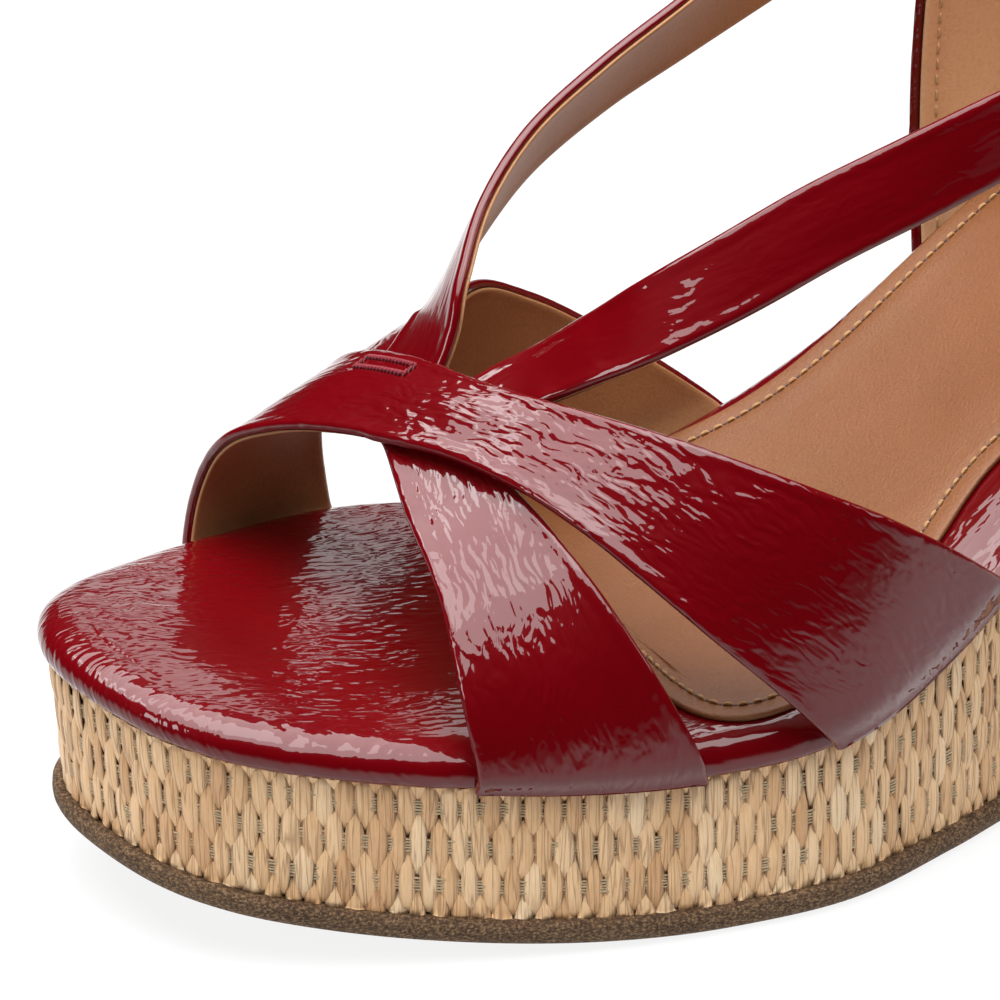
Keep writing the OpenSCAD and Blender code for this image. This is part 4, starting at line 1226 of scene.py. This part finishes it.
# ------------------------------------------------------------------ heel zip
def boxy(name, lo, hi, bevel, body, mat, nodes=(), seg=3):
    """Rounded blocks joined in one mesh; lo and hi are lists of corners."""
    import bmesh
    me = bpy.data.meshes.new(name)
    bm = bmesh.new()
    for a, b in zip(lo, hi):
        a, b = np.array(a, float), np.array(b, float)
        r = bmesh.ops.create_cube(bm, size=1)
        vs = r["verts"]
        for v in vs:
            v.co = Vector(((np.array(v.co) + .5) * (b - a) + a - ORG) / 1000)
        es = list({e for v in vs for e in v.link_edges})
        bmesh.ops.bevel(bm, geom=es, offset=min(bevel, .45 * (b - a).min()) / 1000, segments=seg, affect="EDGES", profile=.5)
    bmesh.ops.recalc_face_normals(bm, faces=bm.faces)
    bm.to_mesh(me)
    bm.free()
    me.polygons.foreach_set("use_smooth", np.ones(len(me.polygons), bool))
    me.materials.append(mat)
    ob = bpy.data.objects.new(name, me)
    bpy.context.scene.collection.objects.link(ob)
    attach(ob, body)
    if nodes:
        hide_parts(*nodes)
    return ob


YB, ZB, ZT = 240.0, 77.65, 127.0
n_t = int((ZT - ZB - 9) / 1.6)
for side, nm in ((1, "lateral"), (-1, "medial")):
    lo, hi = [], []
    for k in range(n_t):
        z = ZB + 4.5 + k * 1.6
        xs = (.62, 2.0) if side > 0 else (-2.0, -.62)
        lo.append((xs[0], YB + .35, z))
        hi.append((xs[1], YB + 1.1, z + 1.0))
    boxy(f"zip_teeth_{nm}_metal", lo, hi, .22, "shoe", BRASS, [f"zip_teeth_{nm}"], 2)
boxy("zip_top_stops_metal", [(.62, YB + .35, ZT - 3.2), (-2.0, YB + .35, ZT - 3.2)], [(2.0, YB + 1.1, ZT - 1.2), (-.62, YB + 1.1, ZT - 1.2)], .25, "shoe", BRASS, ["zip_top_stops"])
boxy("zip_bottom_stop_metal", [(-2.2, YB + .35, ZB + 1.8)], [(2.2, YB + 1.1, ZB + 4.0)], .3, "shoe", BRASS, ["zip_bottom_stop"])


def guard():
    k = np.linspace(-1, 1, 41)
    v = np.linspace(.15, .97, 60)
    off = .35 - .04 - 2.4 * np.cos(k * math.pi / 2) ** 2
    A = wall((16 + k * .9)[:, None], v[None], off[:, None])
    B = wall((16 + k * .9)[:, None], v[None], off[:, None] - .8)
    F = grid_faces(41, 60)
    V, F = shell(A.reshape(-1, 3), B.reshape(-1, 3), F)
    ob = add("zip_guard_skin", V, F, "shoe", LINING, ["zip_guard"], {"st": V[:, :2]})
    fix(ob)
    b = ob.modifiers.new("round", "BEVEL")
    b.width = .00025
    b.segments = 2
    b.limit_method = "ANGLE"


guard()


def from_cad(name, node, body, width, seg=3):
    """The CAD solid's own shape with its sharp edges eased."""
    import bmesh
    me = NODES[node].data.copy()
    me.name = name
    bm = bmesh.new()
    bm.from_mesh(me)
    bmesh.ops.remove_doubles(bm, verts=bm.verts, dist=1e-6)
    bmesh.ops.dissolve_limit(bm, angle_limit=math.radians(1.2), verts=bm.verts, edges=bm.edges)
    bm.to_mesh(me)
    bm.free()
    me.materials.clear()
    me.materials.append(BRASS)
    for a in [a.name for a in me.attributes if a.name == "custom_normal"]:
        me.attributes.remove(me.attributes[a])
    ob = bpy.data.objects.new(name, me)
    bpy.context.scene.collection.objects.link(ob)
    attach(ob, body)
    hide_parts(node)
    b = ob.modifiers.new("ease", "BEVEL")
    b.width = width / 1000
    b.segments = seg
    b.limit_method = "ANGLE"
    b.angle_limit = math.radians(35)
    b.harden_normals = False
    me.polygons.foreach_set("use_smooth", np.ones(len(me.polygons), bool))
    bpy.context.view_layer.objects.active = ob
    w = ob.modifiers.new("weighted", "WEIGHTED_NORMAL")
    w.keep_sharp = False
    return ob


from_cad("zip_slider_metal", "zip_slider", "slider", .22)
from_cad("zip_pull_metal", "zip_pull", "pull", .22)


# ------------------------------------------------------------------ camera, floor and softboxes
def camera():
    a, e = math.radians(62.493), math.radians(28.216)
    back = Vector((math.sin(a) * math.cos(e), -math.cos(a) * math.cos(e), math.sin(e)))
    right = Vector((math.cos(a), math.sin(a), 0))
    up = back.cross(right)
    cam = bpy.data.cameras.new("camera")
    ob = bpy.data.objects.new("camera", cam)
    bpy.context.scene.collection.objects.link(ob)
    R = Matrix((right, up, back)).transposed().to_4x4()
    ob.matrix_world = Matrix.Translation(Vector((1.07809, -.62192, .69895))) @ R
    cam.lens = 378.5
    cam.sensor_width = 36
    cam.shift_x = -.022
    cam.shift_y = .0008
    cam.clip_end = 10
    bpy.context.scene.camera = ob


camera()


def panel(name, direction, dist, w, h, power, target=(0, 0, .05), colour=(1, 1, 1), roll=0.0, flat=False):
    """A rectangular softbox that faces the shoe; power is its radiance."""
    d = Vector(direction).normalized()
    L = bpy.data.lights.new(name, "AREA")
    L.shape = "RECTANGLE"
    L.size = w
    L.size_y = h
    L.energy = power * w * h * math.pi
    L.color = colour
    ob = bpy.data.objects.new(name, L)
    bpy.context.scene.collection.objects.link(ob)
    q = d.to_track_quat("Z", "Y").to_matrix().to_4x4()
    turn = Matrix.Identity(4) if flat else q @ Matrix.Rotation(roll, 4, "Z")
    ob.matrix_world = Matrix.Translation(Vector(target) + d * dist) @ turn
    return ob


def dirn(az, el):
    """Unit vector from an azimuth in degrees, counted from +X towards +Y, and an elevation."""
    a, e = math.radians(az), math.radians(el)
    return (math.cos(e) * math.cos(a), math.cos(e) * math.sin(a), math.sin(e))


# the big overhead softbox, with a hotter middle, then two low panels behind and two side fills
panel("key_overhead", (-.21, -.06, 1.0), 1.0237, 1.62, 1.07, 4.8, flat=True)
panel("key_side", (.725, .10, 1.0), 1.2392, .25, .75, 4.8, flat=True)
panel("key_lip", (-.15, -.72, 1.0), 1.2413, .92, .25, 4.8, flat=True)
panel("key_core", (-.02, -.10, 1.0), .985, .70, .46, 3.2)
panel("key_front", dirn(-136, 47), 1.38, .58, .27, 4.6)
panel("back_panel", dirn(148, 27), 1.2, .48, .27, 1.6)
panel("low_panel", dirn(154, 8.5), 1.3, .75, .20, 1.15)
panel("left_fill", dirn(-84, 24), 1.3, .46, .46, 7.2)
panel("right_fill", dirn(62, 32), 1.3, .5, .46, 2.6)

W = bpy.data.worlds.new("world")
bpy.context.scene.world = W
W.use_nodes = True
W.node_tree.nodes["Background"].inputs[0].default_value = (1, 1, 1, 1)
W.node_tree.nodes["Background"].inputs[1].default_value = .012

fl = bpy.data.meshes.new("floor")
S = 3.0
fl.from_pydata([(-S, -S, 0), (S, -S, 0), (S, S, 0), (-S, S, 0)], [], [(0, 1, 2, 3)])
fm = M("floor_glow_mat")
# the table is white round the shoe and falls away to grey far in front of it: a painted pool of light, and its white is
# mostly the floor's own glow, painted light
away = fm.n("ShaderNodeVectorMath", operation="DISTANCE")
fm.plug(fm.obj(), away.inputs[0])
away.inputs[1].default_value = (-.17, .10, 0)
lit_pool = fm.ramp(away.outputs["Value"], [(.0, (1, 1, 1, 1)), (.31, (1, 1, 1, 1)), (.52, (.20, .20, .20, 1)), (1, (.12, .12, .12, 1))])
fm.set(Base_Color=fm.mix(1.0, lit_pool, (.13, .13, .13, 1), "MULTIPLY"), Roughness=.9, Specular_IOR_Level=.05, Emission_Color=lit_pool, Emission_Strength=.86)
fl.materials.append(fm.m)
fo = bpy.data.objects.new("floor", fl)
bpy.context.scene.collection.objects.link(fo)
fo.location.z = -.0002
fo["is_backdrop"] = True

bpy.context.scene.view_settings.view_transform = "Standard"
bpy.context.scene.view_settings.look = "None"

lo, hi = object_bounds()
